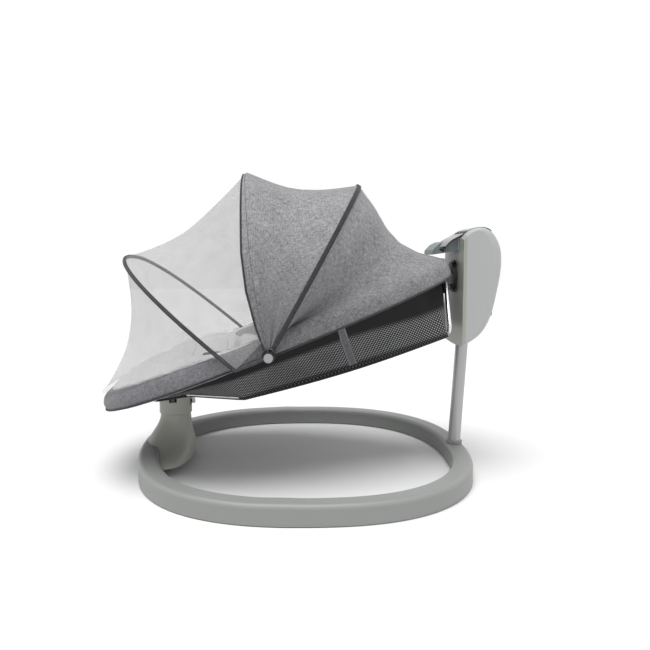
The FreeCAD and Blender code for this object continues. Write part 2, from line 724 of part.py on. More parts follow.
hubs = []
pins = []
boss_start = seat_half_width(342, 1)
boss_end = rib_lane(0) - size("rib_radius") - 0.3
pin_start = seat_half_width(342, size("rim_radius") + 1)
pin_end = rib_lane(2) + size("rib_radius") + 0.3
for side, tag in ((-1, "near"), (1, "far")):
    boss_low = min(side * boss_start, side * boss_end)
    pin_low = min(side * pin_start, side * pin_end)
    cap_low = min(side * pin_end, side * (pin_end + size("head_thick")))
    boss = cylinder("boss_" + tag, "boss_face", str(boss_end - boss_start), HUB, (0, boss_low, 0), "Y")
    shaft = cylinder("shaft_" + tag, "hub_pin_radius", str(pin_end - pin_start), HUB, (0, pin_low, 0), "Y")
    cap = cylinder("button_cap_" + tag, "head_radius", "head_thick", HUB, (0, cap_low, 0), "Y")
    hubs.append(cut("hub_" + tag, boss, [shaft, rim_room]))
    pins.append(join("hub_pin_" + tag, [shaft, cap]))
keep(group("canopy_hubs", hubs))
keep(group("hub_pins", pins))


def gore(stations, half_width, thick):
    """A curved fabric panel between leaning hoops; each station is (angle, length)."""
    wires = []
    for degrees, length in stations:
        above = math.sin(math.radians(degrees - size("seat_slope")))
        least = max(size("gore_edge") / max(above, 0.05), 34)
        outside = arch(degrees, length, half_width, least)
        inside = arch(degrees, length - thick, half_width - thick, least)
        edges = [spline(outside), Part.LineSegment(outside[-1], inside[-1]).toShape(),
                 spline(inside[::-1]), Part.LineSegment(inside[0], outside[0]).toShape()]
        wires.append(Part.Wire(edges))
    return loft(wires)


rib_cover = size("rib_radius") + size("canopy_thick") + 0.6
front_top = size("front_rib_length") + rib_cover
mid_top = size("mid_rib_length") + rib_cover
canopy_width = rib_lane(1) + rib_cover
front_angle = size("front_rib_angle")
mid_angle = size("mid_rib_angle")
rib_span = front_angle - mid_angle
FRONT_SAG = 24
REAR_STATIONS = [(53, 331), (45, 322), (37, 326), (30, 343)]
front_stations = [(front_angle - rib_span * share, front_top + (mid_top - front_top) * share - sag)
                  for share, sag in ((0, 0), (0.33, FRONT_SAG * 0.8), (0.67, FRONT_SAG), (0.97, 0))]
keep(shaped("front_gore", gore(front_stations, canopy_width, size("canopy_thick"))))
rear_stations = [(mid_angle, mid_top)] + REAR_STATIONS
keep(shaped("rear_gore", gore(rear_stations, canopy_width, size("canopy_thick"))))


def net_panel(first, last, thick):
    """A thin net panel between two open hoops given as point lists."""
    centre = HUB.Base + Vector(-80, 0, 0)
    corners = []
    for outside in (first, last):
        inside = [place + (centre - place).normalize() * thick for place in outside]
        corners.append((spline(outside), spline(inside)))
    (outer_a, inner_a), (outer_b, inner_b) = corners
    faces = [Part.makeRuledSurface(*pair) for pair in
             ((outer_a, outer_b), (inner_a, inner_b), (outer_a, inner_a), (outer_b, inner_b))]
    for end in (0, -1):
        loop = [edge.Vertexes[end].Point for edge in (outer_a, outer_b, inner_b, inner_a)]
        edges = [Part.LineSegment(loop[index], loop[(index + 1) % 4]).toShape() for index in range(4)]
        faces.append(Part.makeFilledFace(Part.Wire(edges).Edges))
    shell = Part.makeShell(faces)
    shell.sewShape()
    return Part.makeSolid(shell)


bow_bend = hub_point(size("bow_leg_angle"), size("bow_leg"), 0) - HUB.Base
net_cover = size("rib_radius") + size("net_thick") + 0.8
bow_hem = arch(size("bow_angle") - 1.5, size("bow_length") + net_cover, rib_lane(2) + net_cover, 40, origin=bow_bend)
rib_hem = arch(front_angle + 2.0, front_top + 1, canopy_width + 3, 46)
keep(shaped("net_upper", net_panel(rib_hem, bow_hem, size("net_thick"))))

skirt_top = arch(size("bow_angle") + 2.5, size("bow_length") + net_cover, rib_lane(2) + net_cover, 40, origin=bow_bend)


def rim_hem():
    """The lower edge of the net, which rests on the rim sleeve round the foot end."""
    points = []
    for step in range(19):
        share = step / 18
        angle = -68 + 136 * share
        places = rim_points(3, size("sleeve_top") + 1.5, start=angle, end=angle + 360, count=1)
        points.append(places[0])
    return points


keep(shaped("net_lower", net_panel(skirt_top, rim_hem(), size("net_thick"))))

# ---------------------------------------------------------------- rear tube

tube_foot = (0, 0, -size("tube_sunk"))
tube_body = cylinder("tube_body", "tube_radius", "tube_length + tube_sunk", TUBE, tube_foot)
tube_bore = cylinder("tube_bore", "tube_radius - tube_wall", "tube_length + tube_sunk", TUBE, tube_foot)
keep(cut("rear_tube", tube_body, [tube_bore]))

socket_flange = cylinder("socket_flange", "tube_radius + socket_rim", "5", TUBE, (0, 0, 0.9))
socket_cup = cylinder("socket_cup", "tube_radius + socket_wall", "tube_sunk + 3", TUBE, (0, 0, -size("tube_sunk") - 2))
socket_tool = cylinder("socket_tool", "tube_radius", "tube_length", TUBE, tube_foot)
keep(cut("tube_socket", join("socket_form", [socket_flange, socket_cup]), [socket_tool]))

# ---------------------------------------------------------------- yoke on the seat's nose

yoke_x = size("head_front") - size("gear_thick") - 9 - size("yoke_thick")
crank_x = size("head_front")
pin_z = size("crank_height") - size("crank_radius")
slot_low = pin_z - size("crank_pin_radius") - size("slot_down")
slot_high = pin_z + size("crank_pin_radius") + size("slot_up")
slot_half = size("crank_pin_radius") + size("slot_side_gap")
rim_nose = seat_point(size("seat_length") - size("tube_inset"), 0, 0)
yoke_low = slot_low - 6
yoke_plate = box("yoke_plate", "yoke_thick", "2 * yoke_half_width", str(rim_nose.z - yoke_low), WORLD,
                 (yoke_x, -size("yoke_half_width"), yoke_low))
yoke_slot = box("yoke_slot", "yoke_thick + 4", "2 * (crank_pin_radius + slot_side_gap)",
                str(slot_high - slot_low), WORLD, (yoke_x - 2, -slot_half, slot_low))
keep(cut("nose_bracket", yoke_plate, [yoke_slot, rim_room]))

gap = size("free_gap")
hub_rooms = [cylinder("hub_room_" + tag, "boss_face + free_gap", "60", HUB, (0, start, 0), "Y")
             for tag, start in (("near", -boss_start - 60), ("far", boss_start))]
sleeve_notch = box("sleeve_notch", "yoke_thick + 2 * free_gap", "2 * (yoke_half_width + free_gap)", "60", WORLD,
                   (yoke_x - gap, -size("yoke_half_width") - gap, rim_nose.z + gap - 60))
keep(cut("rim_sleeve", sleeve_form, [shaped("tube_room", rim_pipe(size("rim_radius") + 0.3)), sleeve_notch,
                                     shaped("hoop_room", rear_hoop(size("hoop_radius") + gap))] + hub_rooms))

# ---------------------------------------------------------------- motor head

HEAD_OUTLINE = [
    # distance behind the flat front face, height
    (0, 440), (12, 452), (28, 460), (42, 460.5), (54, 455), (65, 442), (73, 424), (76, 400), (75, 378),
    (70.5, 350), (63.5, 315), (52, 281), (36, 258), (20, 246), (8, 239.5), (0, 237),
]
HEAD_CENTRE_Z = 350
HEAD_SIDES = [
    # share of the half width, share of the depth, share of the height
    (-1.0, 0.70, 0.93), (-0.965, 0.84, 0.965), (-0.88, 0.94, 0.985), (-0.68, 1.0, 1.0), (0.68, 1.0, 1.0),
    (0.88, 0.94, 0.985), (0.965, 0.84, 0.965), (1.0, 0.70, 0.93),
]


def head_wire(across, depth_share, height_share, inset):
    depth = depth_share * (1 - 2 * inset / size("head_depth"))
    tall = height_share * (1 - inset / 112)
    points = [Vector(size("head_front") + inset + offset * depth, across,
                     HEAD_CENTRE_Z + (height - HEAD_CENTRE_Z) * tall) for offset, height in HEAD_OUTLINE]
    front = Part.LineSegment(points[-1], points[0]).toShape()
    return Part.Wire([front, spline(points)])


def head_form(inset):
    half = size("head_half_width") - inset
    return loft([head_wire(share * half, depth, tall, inset) for share, depth, tall in HEAD_SIDES])


def head_rear(height):
    """How far back the head's rear skin is at a height below its widest part."""
    rear = sorted((z, offset) for offset, z in HEAD_OUTLINE[7:])
    return size("head_front") + between(rear, height)


HOOD_OUTLINE = [(241, 410), (242, 419), (252, 429.5), (277, 443), (298, 449), (298, 420), (262, 413)]


def hood_form(inset):
    centre = Vector(276, 0, 430)
    half = 38 - inset
    points = []
    for x, z in HOOD_OUTLINE:
        place = Vector(x, -half, z)
        shift = place - Vector(centre.x, -half, centre.z)
        points.append(place - shift.normalize() * inset)
    return Part.Face(polygon(points)).extrude(Vector(0, 2 * half, 0))


PANEL_LINE = [(-31, 415), (-24, 428), (-13, 438), (3, 446.5), (24, 458.5), (41, 461), (52, 459), (59, 454)]


def panel_outline(low, high):
    """The top of the head from the hood over to the rear, between two offsets from the skin."""
    line = [Vector(size("head_front") + offset, 0, height) for offset, height in PANEL_LINE]
    upper = []
    lower = []
    for index, place in enumerate(line):
        before = line[max(index - 1, 0)]
        after = line[min(index + 1, len(line) - 1)]
        along = (after - before).normalize()
        out = Vector(-along.z, 0, along.x)
        upper.append(place + out * high)
        lower.append(place + out * low)
    return upper, lower


def panel_form(low, high, half):
    upper, lower = panel_outline(low, high)
    edges = [spline(upper), Part.LineSegment(upper[-1], lower[-1]).toShape(), spline(lower[::-1]),
             Part.LineSegment(lower[0], upper[0]).toShape()]
    face = Part.Face(Part.Wire(edges))
    face.translate(Vector(0, -half, 0))
    return face.extrude(Vector(0, 2 * half, 0))


button_base = Vector(size("head_front") + PANEL_LINE[3][0], 0, PANEL_LINE[3][1])
button_end = Vector(size("head_front") + PANEL_LINE[4][0], 0, PANEL_LINE[4][1])
panel_slope = math.degrees(math.atan2(button_end.z - button_base.z, button_end.x - button_base.x))
middle = (button_base + button_end) * 0.5
PANEL = Placement(middle, Rotation(Y_AXIS, -panel_slope))

head_solid = join("head_solid", [shaped("head_shape", head_form(0)), shaped("hood_shape", hood_form(0))])
head_hollow = shaped("head_hollow", head_form(size("head_wall")))
hood_hollow = shaped("hood_hollow", hood_form(size("head_wall")))
head_room = join("head_room", [head_hollow, hood_hollow])
panel_low = size("panel_proud") - size("panel_thick")
panel_half = size("panel_half_width")
panel_solid = shaped("panel_solid", panel_form(panel_low, size("panel_proud"), panel_half))
seat_gap = size("fit_gap")
panel_room = shaped("panel_room", panel_form(panel_low - seat_gap, 9, panel_half + seat_gap))
tube_way = cylinder("tube_way", "tube_radius + fit_gap + sleeve_wall + 0.1", "120", TUBE, (0, 0, 150))
disc_way = cylinder("disc_way", "crank_disc_radius + bearing_wall", "30", WORLD,
                    (size("head_front") - 15, 0, size("crank_height")), "X")

BUTTONS = ["power_button", "swing_button", "music_button", "timer_button"]
button_places = []
for index in range(len(BUTTONS)):
    button_places.append((0, (index - (len(BUTTONS) - 1) / 2) * size("button_pitch"), 0))
button_ways = []
for index, place in enumerate(button_places):
    low = (place[0], place[1], -size("button_height") - 2)
    button_ways.append(cylinder("button_way_%d" % index, "button_radius + 0.3", "button_height + 12", PANEL, low))

front_zone = box("front_zone", "200", "300", "400", WORLD, (size("head_split") - 200, -150, 150))
rear_zone = box("rear_zone", "200", "300", "400", WORLD, (size("head_split"), -150, 150))
latch_z = size("latch_height")
tube_back = TUBE.multVec(Vector(size("tube_radius"), 0, latch_z - size("ring_height"))).x
latch_way = cylinder("latch_way", "latch_stem_radius + free_gap", "60", WORLD, (head_rear(latch_z) - 20, 0, latch_z), "X")
inlet_z = size("inlet_height")
inlet_at = (head_rear(inlet_z) - size("inlet_sunk"), size("inlet_side"), inlet_z)
inlet_body = cylinder("inlet_body", "inlet_radius", "inlet_length", WORLD, inlet_at, "X")
inlet_way = cylinder("inlet_way", "inlet_radius", "inlet_length", WORLD, inlet_at, "X")
inlet_bore = cylinder("inlet_bore", "inlet_bore", "inlet_length", WORLD,
                      (inlet_at[0] + size("inlet_floor"), inlet_at[1], inlet_z), "X")
keep(cut("head_front_shell", common("front_form", [head_solid, front_zone]),
         [head_room, panel_room, tube_way, disc_way] + button_ways))
keep(cut("head_rear_shell", common("rear_form", [head_solid, rear_zone]),
         [head_room, panel_room, tube_way, latch_way, inlet_way] + button_ways))
keep(cut("control_panel", panel_solid, button_ways))
keep(cut("dc_inlet", inlet_body, [inlet_bore]))
for index, (label, place) in enumerate(zip(BUTTONS, button_places)):
    low = (place[0], place[1], size("panel_proud") + size("button_proud") - size("button_height"))
    keep(cylinder(label, "button_radius", "button_height", PANEL, low))

sleeve_body = cylinder("sleeve_body", "tube_radius + fit_gap + sleeve_wall", "sleeve_length", TUBE,
                       (0, 0, size("sleeve_start")))
sleeve_bore = cylinder("sleeve_bore", "tube_radius + fit_gap", "sleeve_length + 4", TUBE,
                       (0, 0, size("sleeve_start") - 2))
latch_window = cylinder("latch_window", "latch_stem_radius + free_gap", "40", WORLD, (tube_back - 3, 0, latch_z), "X")
keep(cut("tube_sleeve", sleeve_body, [sleeve_bore, latch_window]))

knob_x = head_rear(latch_z) + size("latch_proud")
latch_stem = cylinder("latch_stem", "latch_stem_radius", str(knob_x + 2 - tube_back), WORLD,
                      (tube_back + 0.5, 0, latch_z), "X")
latch_knob = cylinder("latch_knob", "latch_knob_radius", "latch_knob_length", WORLD, (knob_x, 0, latch_z), "X")
keep(join("recline_latch", [latch_stem, latch_knob]))

frame_x = size("gear_front") + size("gear_thick") + 0.6
frame_plate = box("frame_plate", "frame_thick", "2 * head_half_width", "230", WORLD,
                  (frame_x, -size("head_half_width"), 236))
frame_room = cylinder("frame_room", "tube_radius + fit_gap + sleeve_wall + 0.3", "sleeve_length + 60", TUBE,
                      (0, 0, size("sleeve_start") - 30))
pinion_y = size("gear_module") * (size("wheel_teeth") + size("pinion_teeth")) / 2 + 0.15
pinion_at = (frame_x - 1, pinion_y, size("crank_height"))
shaft_way = cylinder("shaft_way", "2.2", "frame_thick + 2", WORLD, pinion_at, "X")
keep(cut("head_frame", common("frame_form", [frame_plate, shaped("frame_fit", head_form(size("head_wall") + 0.3))]),
         [frame_room, shaft_way] + button_ways))

keep(cylinder("motor", "motor_radius", "motor_length", WORLD,
              (frame_x + size("frame_thick") + 0.2, pinion_y, size("crank_height")), "X"))

board_x = frame_x + size("frame_thick") + 0.3
board = box("board", "board_thick", "board_width", "board_height", WORLD, (board_x, -52, 350))
chips = []
for index in range(2):
    corner = (board_x + size("board_thick"), -48 + index * size("chip_pitch"), 380)
    chips.append(box("chip_%d" % index, "chip_thick", "chip_side", "chip_side", WORLD, corner))
keep(join("circuit_board", [board] + chips))
speaker_at = (board_x, 38, 418)
speaker_cone = cylinder("speaker_cone", "speaker_radius", "speaker_thick", WORLD, speaker_at, "X")
speaker_magnet = cylinder("speaker_magnet", "magnet_radius", "magnet_thick", WORLD, speaker_at, "X")
keep(join("speaker", [speaker_cone, speaker_magnet]))

# ---------------------------------------------------------------- crank and gears

bearing_body = cylinder("bearing_body", "crank_disc_radius + bearing_wall", "gear_front - head_front + 2.6", WORLD,
                        (size("head_front") - 3, 0, size("crank_height")), "X")
bearing_bore = cylinder("bearing_bore", "crank_disc_radius + fit_gap", "30", WORLD,
                        (size("head_front") - 15, 0, size("crank_height")), "X")
keep(cut("crank_bearing", bearing_body, [bearing_bore]))

disc_body = cylinder("disc_body", "crank_disc_radius", "10", WORLD,
                     (size("gear_front") - 10, 0, size("crank_height")), "X")
pin_seat = cylinder("pin_seat", "crank_pin_radius", "30", WORLD, (size("gear_front") - 22, 0, pin_z), "X")
keep(cut("crank_disc", disc_body, [pin_seat]))
keep(cylinder("crank_pin", "crank_pin_radius", "crank_pin_length", WORLD,
              (size("gear_front") - size("crank_pin_length"), 0, pin_z), "X"))


def gear(name, teeth_alias, centre_y, turn, bore):
    """A spur gear across X: a rim with tapered teeth, a little slimmer than half the pitch."""
    body = doc.addObject("PartDesign::Body", name)
    plane = next(item for item in body.Origin.OriginFeatures if item.Role == "YZ_Plane")
    teeth = int(size(teeth_alias))
    module = size("gear_module")
    pitch = teeth * module / 2
    root = pitch - 1.2 * module
    tip = pitch + 0.8 * module
    outline = []
    for index in range(teeth):
        for radius, share in ((root, -0.29), (pitch, -0.20), (tip, -0.12), (tip, 0.12), (pitch, 0.20), (root, 0.29)):
            angle = 2 * math.pi * (index + share + turn) / teeth
            outline.append(Vector(radius * math.cos(angle), radius * math.sin(angle), 0))
    sketch = body.newObject("Sketcher::SketchObject", name + "_profile")
    sketch.AttachmentSupport = [(plane, "")]
    sketch.MapMode = "FlatFace"
    lines = [Part.LineSegment(first, second) for first, second in zip(outline, outline[1:] + outline[:1])]
    sketch.addGeometry(lines, False)
    if bore:
        sketch.addGeometry(Part.Circle(Vector(0, 0, 0), Z_AXIS, bore), False)
    pad = body.newObject("PartDesign::Pad", name + "_pad")
    pad.Profile = sketch
    bind(pad, Length="gear_thick")
    body.Placement = Placement(Vector(size("gear_front"), centre_y, size("crank_height")), Rotation())
    doc.recompute()
    return keep(body)


gear("crank_gear", "wheel_teeth", 0, 0.5, 0)
gear("pinion", "pinion_teeth", pinion_y, 0.0, 2)
shaft_length = str(frame_x + size("frame_thick") + 0.2 - size("gear_front"))
keep(cylinder("motor_shaft", "2", shaft_length, WORLD,
              (size("gear_front"), pinion_y, size("crank_height")), "X"))

# ---------------------------------------------------------------- screws

ring_screw_items = [screw("ring_screw_%d" % index, WORLD, place) for index, place in enumerate(screw_places)]
keep(group("ring_screws", ring_screw_items))

centre = Placement(Vector(size("centre_shift"), 0, 0), Rotation())
for item in nodes:
    item.Placement = centre.multiply(item.Placement)
doc.recompute()
problems = []
for item in doc.Objects:
    if "Invalid" in item.State or "Error" in item.State:
        problems.append(item.Name + " " + str(item.State))
for item in nodes:
    shape = item.Shape
    if shape.isNull() or not shape.isValid() or not shape.Solids:
        problems.append(item.Label + " has no valid solid")
if problems:
    raise RuntimeError("; ".join(problems))

os.makedirs("parts", exist_ok=True)
for item in nodes:
    item.Shape.exportStep(os.path.join("parts", item.Label + ".step"))
print(len(nodes), "nodes written")
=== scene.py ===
import math
import bmesh
import bpy
import numpy as np
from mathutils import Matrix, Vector, noise
from mathutils.bvhtree import BVHTree


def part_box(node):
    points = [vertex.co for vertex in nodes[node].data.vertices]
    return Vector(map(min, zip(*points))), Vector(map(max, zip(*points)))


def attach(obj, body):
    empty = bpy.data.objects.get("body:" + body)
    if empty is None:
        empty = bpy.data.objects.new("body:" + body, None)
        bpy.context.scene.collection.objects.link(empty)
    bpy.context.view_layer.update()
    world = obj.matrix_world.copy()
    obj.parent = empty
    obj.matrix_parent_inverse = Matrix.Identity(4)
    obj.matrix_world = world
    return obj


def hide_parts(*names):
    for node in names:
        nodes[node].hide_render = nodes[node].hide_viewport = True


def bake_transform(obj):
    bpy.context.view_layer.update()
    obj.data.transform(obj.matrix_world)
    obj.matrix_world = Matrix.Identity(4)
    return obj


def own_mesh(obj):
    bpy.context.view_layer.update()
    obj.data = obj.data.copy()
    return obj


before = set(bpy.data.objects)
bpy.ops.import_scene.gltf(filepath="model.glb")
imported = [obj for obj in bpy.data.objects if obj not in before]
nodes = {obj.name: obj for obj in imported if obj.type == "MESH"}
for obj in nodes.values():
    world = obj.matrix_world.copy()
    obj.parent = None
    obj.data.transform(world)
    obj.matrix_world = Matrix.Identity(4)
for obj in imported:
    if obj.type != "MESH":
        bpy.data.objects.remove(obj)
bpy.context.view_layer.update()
print("frame loaded:", len(nodes), "nodes")


def tone(code):  # a written colour such as 8a8b90, as linear light
    parts = [int(code[index:index + 2], 16) / 255 for index in (0, 2, 4)]
    return [((part + 0.055) / 1.055) ** 2.4 if part > 0.04 else part / 12.92 for part in parts] + [1]


class Value:  # a socket that can stand in a sum
    def __init__(self, paint, socket):
        self.paint = paint
        self.socket = socket

    def sum(self, operation, first, second):
        return self.paint.add("ShaderNodeMath", {"operation": operation}, {0: first, 1: second})

    def __add__(self, other):
        return self.sum("ADD", self, other)

    def __radd__(self, other):
        return self.sum("ADD", other, self)

    def __sub__(self, other):
        return self.sum("SUBTRACT", self, other)

    def __rsub__(self, other):
        return self.sum("SUBTRACT", other, self)

    def __mul__(self, other):
        return self.sum("MULTIPLY", self, other)

    def __rmul__(self, other):
        return self.sum("MULTIPLY", other, self)

    def __truediv__(self, other):
        return self.sum("DIVIDE", self, other)

    def clipped(self):
        return self.paint.add("ShaderNodeClamp", {}, {"Value": self})

    def least(self, other):
        return self.sum("MINIMUM", self, other)


class Paint:  # builds one material
    def __init__(self, name):
        self.material = bpy.data.materials.new(name)
        self.material.use_nodes = True
        self.tree = self.material.node_tree
        self.tree.nodes.clear()

    def add(self, kind, settings, sockets, out=0):
        node = self.tree.nodes.new(kind)
        for key, value in settings.items():
            setattr(node, key, value)
        for key, value in sockets.items():
            if isinstance(value, Value):
                self.tree.links.new(value.socket, node.inputs[key])
            else:
                node.inputs[key].default_value = value
        return Value(self, node.outputs[out]) if node.outputs else node

    def stretched(self, vector, amounts):
        return self.add("ShaderNodeVectorMath", {"operation": "MULTIPLY"}, {0: vector, 1: amounts})

    def cloudy(self, vector, scale, detail=2.0):
        return self.add("ShaderNodeTexNoise", {}, {"Vector": vector, "Scale": scale, "Detail": detail})

    def blended(self, factor, first, second):
        return self.add("ShaderNodeMix", {"data_type": "RGBA"}, {0: factor, 6: first, 7: second}, out=2)

    def bumped(self, height, strength, distance):
        return self.add("ShaderNodeBump", {}, {"Height": height, "Strength": strength, "Distance": distance})

    def place(self):  # where a point is, in metres
        return self.add("ShaderNodeTexCoord", {}, {}, out=3)

    def clothPlace(self):  # where a point is on its cloth, in metres
        return self.add("ShaderNodeUVMap", {"uv_map": "cloth"}, {})

    def finished(self, sockets):
        shader = self.add("ShaderNodeBsdfPrincipled", {}, sockets)
        self.add("ShaderNodeOutputMaterial", {}, {"Surface": shader})
        return self.material


canopyShade = {"low": 0.29, "high": 0.46, "least": 0.6}  # heights in metres, and the darkest share, of the shade painted on the canopy's cloth


def melangeCloth(name, dark, light, follows=True, slub=1.0, paintedShade=False):  # yarns of two greys, woven, with a painted shade toward the lower edge if asked
    paint = Paint(name)
    spot = paint.clothPlace() if follows else paint.place()
    warp = paint.cloudy(paint.stretched(spot, (560, 120, 160)), 1.0)
    weft = paint.cloudy(paint.stretched(spot, (110, 600, 560)), 1.0)
    yarn = (warp + weft) * 0.5
    cloud = paint.cloudy(spot, 26, 3.0)
    share = ((yarn - 0.5) * (3.0 * slub) + (cloud - 0.5) * 0.5 + 0.5).clipped()
    colour = paint.blended(share, tone(dark), tone(light))
    if paintedShade:  # painted shade: the colour is darker toward the lower edge, where the cloth lies in shade
        split = paint.add("ShaderNodeSeparateXYZ", {}, {"Vector": paint.place()}, out=2)
        height = ((split - canopyShade["low"]) / (canopyShade["high"] - canopyShade["low"])).clipped()
        colour = paint.add("ShaderNodeVectorMath", {"operation": "SCALE"},
                           {0: colour, "Scale": height * (1 - canopyShade["least"]) + canopyShade["least"]})
    return paint.finished({"Base Color": colour, "Roughness": 0.92,
                           "Sheen Weight": 0.15, "Specular IOR Level": 0.2,
                           "Normal": paint.bumped(yarn, 0.3, 0.0008)})


def dottedMesh(name, dark, dots, pitch=0.0064, dotSize=0.225):  # spacer mesh with rows of small holes
    paint = Paint(name)
    spot = paint.clothPlace()
    cells = []
    for shift in (0.0, 0.5):
        moved = paint.add("ShaderNodeVectorMath", {"operation": "MULTIPLY_ADD"},
                          {0: spot, 1: (1 / pitch, 1 / pitch, 0), 2: (shift, shift, 0)})
        folded = paint.add("ShaderNodeVectorMath", {"operation": "FRACTION"}, {0: moved})
        cells.append(paint.add("ShaderNodeVectorMath", {"operation": "DISTANCE"},
                               {0: folded, 1: (0.5, 0.5, 0)}, out=1))
    hole = ((dotSize - cells[0].least(cells[1])) * 9.0 + 0.5).clipped()
    mask = hole * paint.add("ShaderNodeAttribute", {"attribute_name": "open"}, {}, out=2)
    cloud = paint.cloudy(paint.place(), 12, 2.0)
    light = (mask * (cloud * 1.1 + 0.4)).clipped()
    return paint.finished({"Base Color": paint.blended(light, tone(dark), tone(dots)), "Roughness": 0.8,
                           "Specular IOR Level": 0.3, "Normal": paint.bumped(mask, 0.35, 0.0009)})


def fineNet(name, colour, cover):  # insect net, seen as a thin veil
    paint = Paint(name)
    cloud = paint.cloudy(paint.place(), 30, 2.0)
    return paint.finished({"Base Color": tone(colour), "Roughness": 0.9, "Specular IOR Level": 0.1,
                           "Alpha": cloud * 0.08 + (cover - 0.04)})


def plastic(name, colour, roughness, grain=0.12):
    paint = Paint(name)
    fine = paint.cloudy(paint.place(), 1400, 2.0)
    return paint.finished({"Base Color": tone(colour), "Roughness": roughness,
                           "Normal": paint.bumped(fine, grain, 0.0003)})


def hoodedPlastic(name, colour, hoodColour):  # the head's front shell, darker on its hood
    paint = Paint(name)
    spot = paint.place()
    parts = paint.add("ShaderNodeSeparateXYZ", {}, {"Vector": spot}).socket.node.outputs
    forward = ((hood["behind"] - Value(paint, parts["X"])) * 4000).clipped()
    above = ((Value(paint, parts["Z"]) - hood["low"]) * 4000).clipped()
    return paint.finished({"Base Color": paint.blended(forward * above, tone(colour), tone(hoodColour)),
                           "Roughness": 0.42})


def metal(name, colour, roughness, share=1.0):
    paint = Paint(name)
    rubbed = paint.cloudy(paint.stretched(paint.place(), (40, 40, 900)), 1.0)
    return paint.finished({"Base Color": tone(colour), "Metallic": share,
                           "Roughness": rubbed * 0.1 + (roughness - 0.05)})


hood = {"behind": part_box("crank_gear")[0].x - 0.005, "low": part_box("crank_gear")[1].z + 0.004}
finish = {
    "base": plastic("basePlastic", "919391", 0.46),
    "post": plastic("postPlastic", "acada5", 0.46),
    "headRear": plastic("headRearPlastic", "b0b1b1", 0.36, 0.05),
    "headFront": hoodedPlastic("headFrontPlastic", "a0a298", "6b7477"),
    "black": plastic("blackPlastic", "2a2b2c", 0.45),
    "panel": plastic("panelGloss", "17181a", 0.12, 0.0),
    "key": plastic("keyRubber", "6f7276", 0.55),
    "rubber": plastic("footRubber", "242424", 0.8),
    "nylon": plastic("nylon", "dedcd2", 0.4),
    "board": plastic("boardGreen", "2c5a3c", 0.5),
    "tube": metal("tubeSatin", "adaead", 0.34, 0.55),
    "rail": metal("railSatin", "c9c9c9", 0.28, 0.7),
    "chrome": metal("chrome", "d8d8d8", 0.14),
    "button": plastic("hubButton", "a0a0a0", 0.35, 0.0),
    "steel": metal("zincSteel", "a9abad", 0.3),
    "dark": metal("darkWire", "3c3c40", 0.4, 0.3),
}
nodeFinish = {
    "base": ["ring_foot_half", "ring_head_half", "tube_socket"],
    "post": ["post_shell", "swivel_collar"],
    "headRear": ["head_rear_shell"],
    "headFront": ["head_front_shell"],
    "black": ["ring_cover_foot", "ring_cover_head", "ring_joint_keys", "tilt_block", "nose_bracket",
              "head_frame", "crank_bearing", "crank_disc", "recline_latch", "speaker", "dc_inlet", "buckle",
              "canopy_hubs"],
    "panel": ["control_panel"],
    "key": ["power_button", "swing_button", "music_button", "timer_button", "buckle_button"],
    "rubber": ["rubber_feet"],
    "nylon": ["swivel_bush", "tube_sleeve", "crank_gear", "pinion"],
    "board": ["circuit_board"],
    "tube": ["rear_tube", "rim_tube", "seat_bracket"],
    "rail": ["lower_rail_left", "lower_rail_right"],
    "chrome": ["rear_hoop", "stem_cap"],
    "button": ["hub_pins"],
    "steel": ["post_stem", "crank_pin", "motor_shaft", "motor", "ring_screws"],
    "dark": ["mid_rib", "front_rib", "net_bow", "tilt_pin", "glide_bar"],
}
for finishName, nodeNames in nodeFinish.items():
    for nodeName in nodeNames:
        nodes[nodeName].data.materials.clear()
        nodes[nodeName].data.materials.append(finish[finishName])

cloth = {
    # the canopy's cloth carries a painted shade, darker toward its lower edge
    "canopy": melangeCloth("canopyMelange", "6c6c6e", "b0b0b3", paintedShade=True),
    "rim": melangeCloth("rimMelange", "5e5e61", "8e8e92"),
    "cushion": melangeCloth("linerMelange", "dcdcdc", "f8f8f8", follows=False, slub=0.6),
    "bolster": melangeCloth("bolsterMelange", "8d8d91", "b9b9bd", follows=False),
    "binding": melangeCloth("bindingTape", "2b2b2e", "47474b", follows=False, slub=0.6),
    "casing": melangeCloth("bowCasing", "363638", "545457", follows=False),
    "webbing": melangeCloth("greyWebbing", "4c4c4e", "6c6c6e", follows=False),
    "sling": dottedMesh("slingMesh", "0c0c0d", "98989a"),
    "net": fineNet("insectNet", "b4b4b4", 0.19),
}
print("materials built:", len(finish) + len(cloth))


mm = 0.001  # the sizes and places of the pieces below are in millimetres until they become meshes
cutSizes = {}


def smoothMesh(name, vertices, faces, material, corners=None):
    mesh = bpy.data.meshes.new(name)
    mesh.from_pydata([tuple(vertex) for vertex in vertices], [], faces)
    if corners is not None:
        layer = mesh.uv_layers.new(name="cloth")
        layer.data.foreach_set("uv", np.array(corners, np.float32).ravel())
    mesh.polygons.foreach_set("use_smooth", [True] * len(mesh.polygons))
    mesh.materials.append(material)
    piece = bpy.data.objects.new(name, mesh)
    bpy.context.scene.collection.objects.link(piece)
    return piece


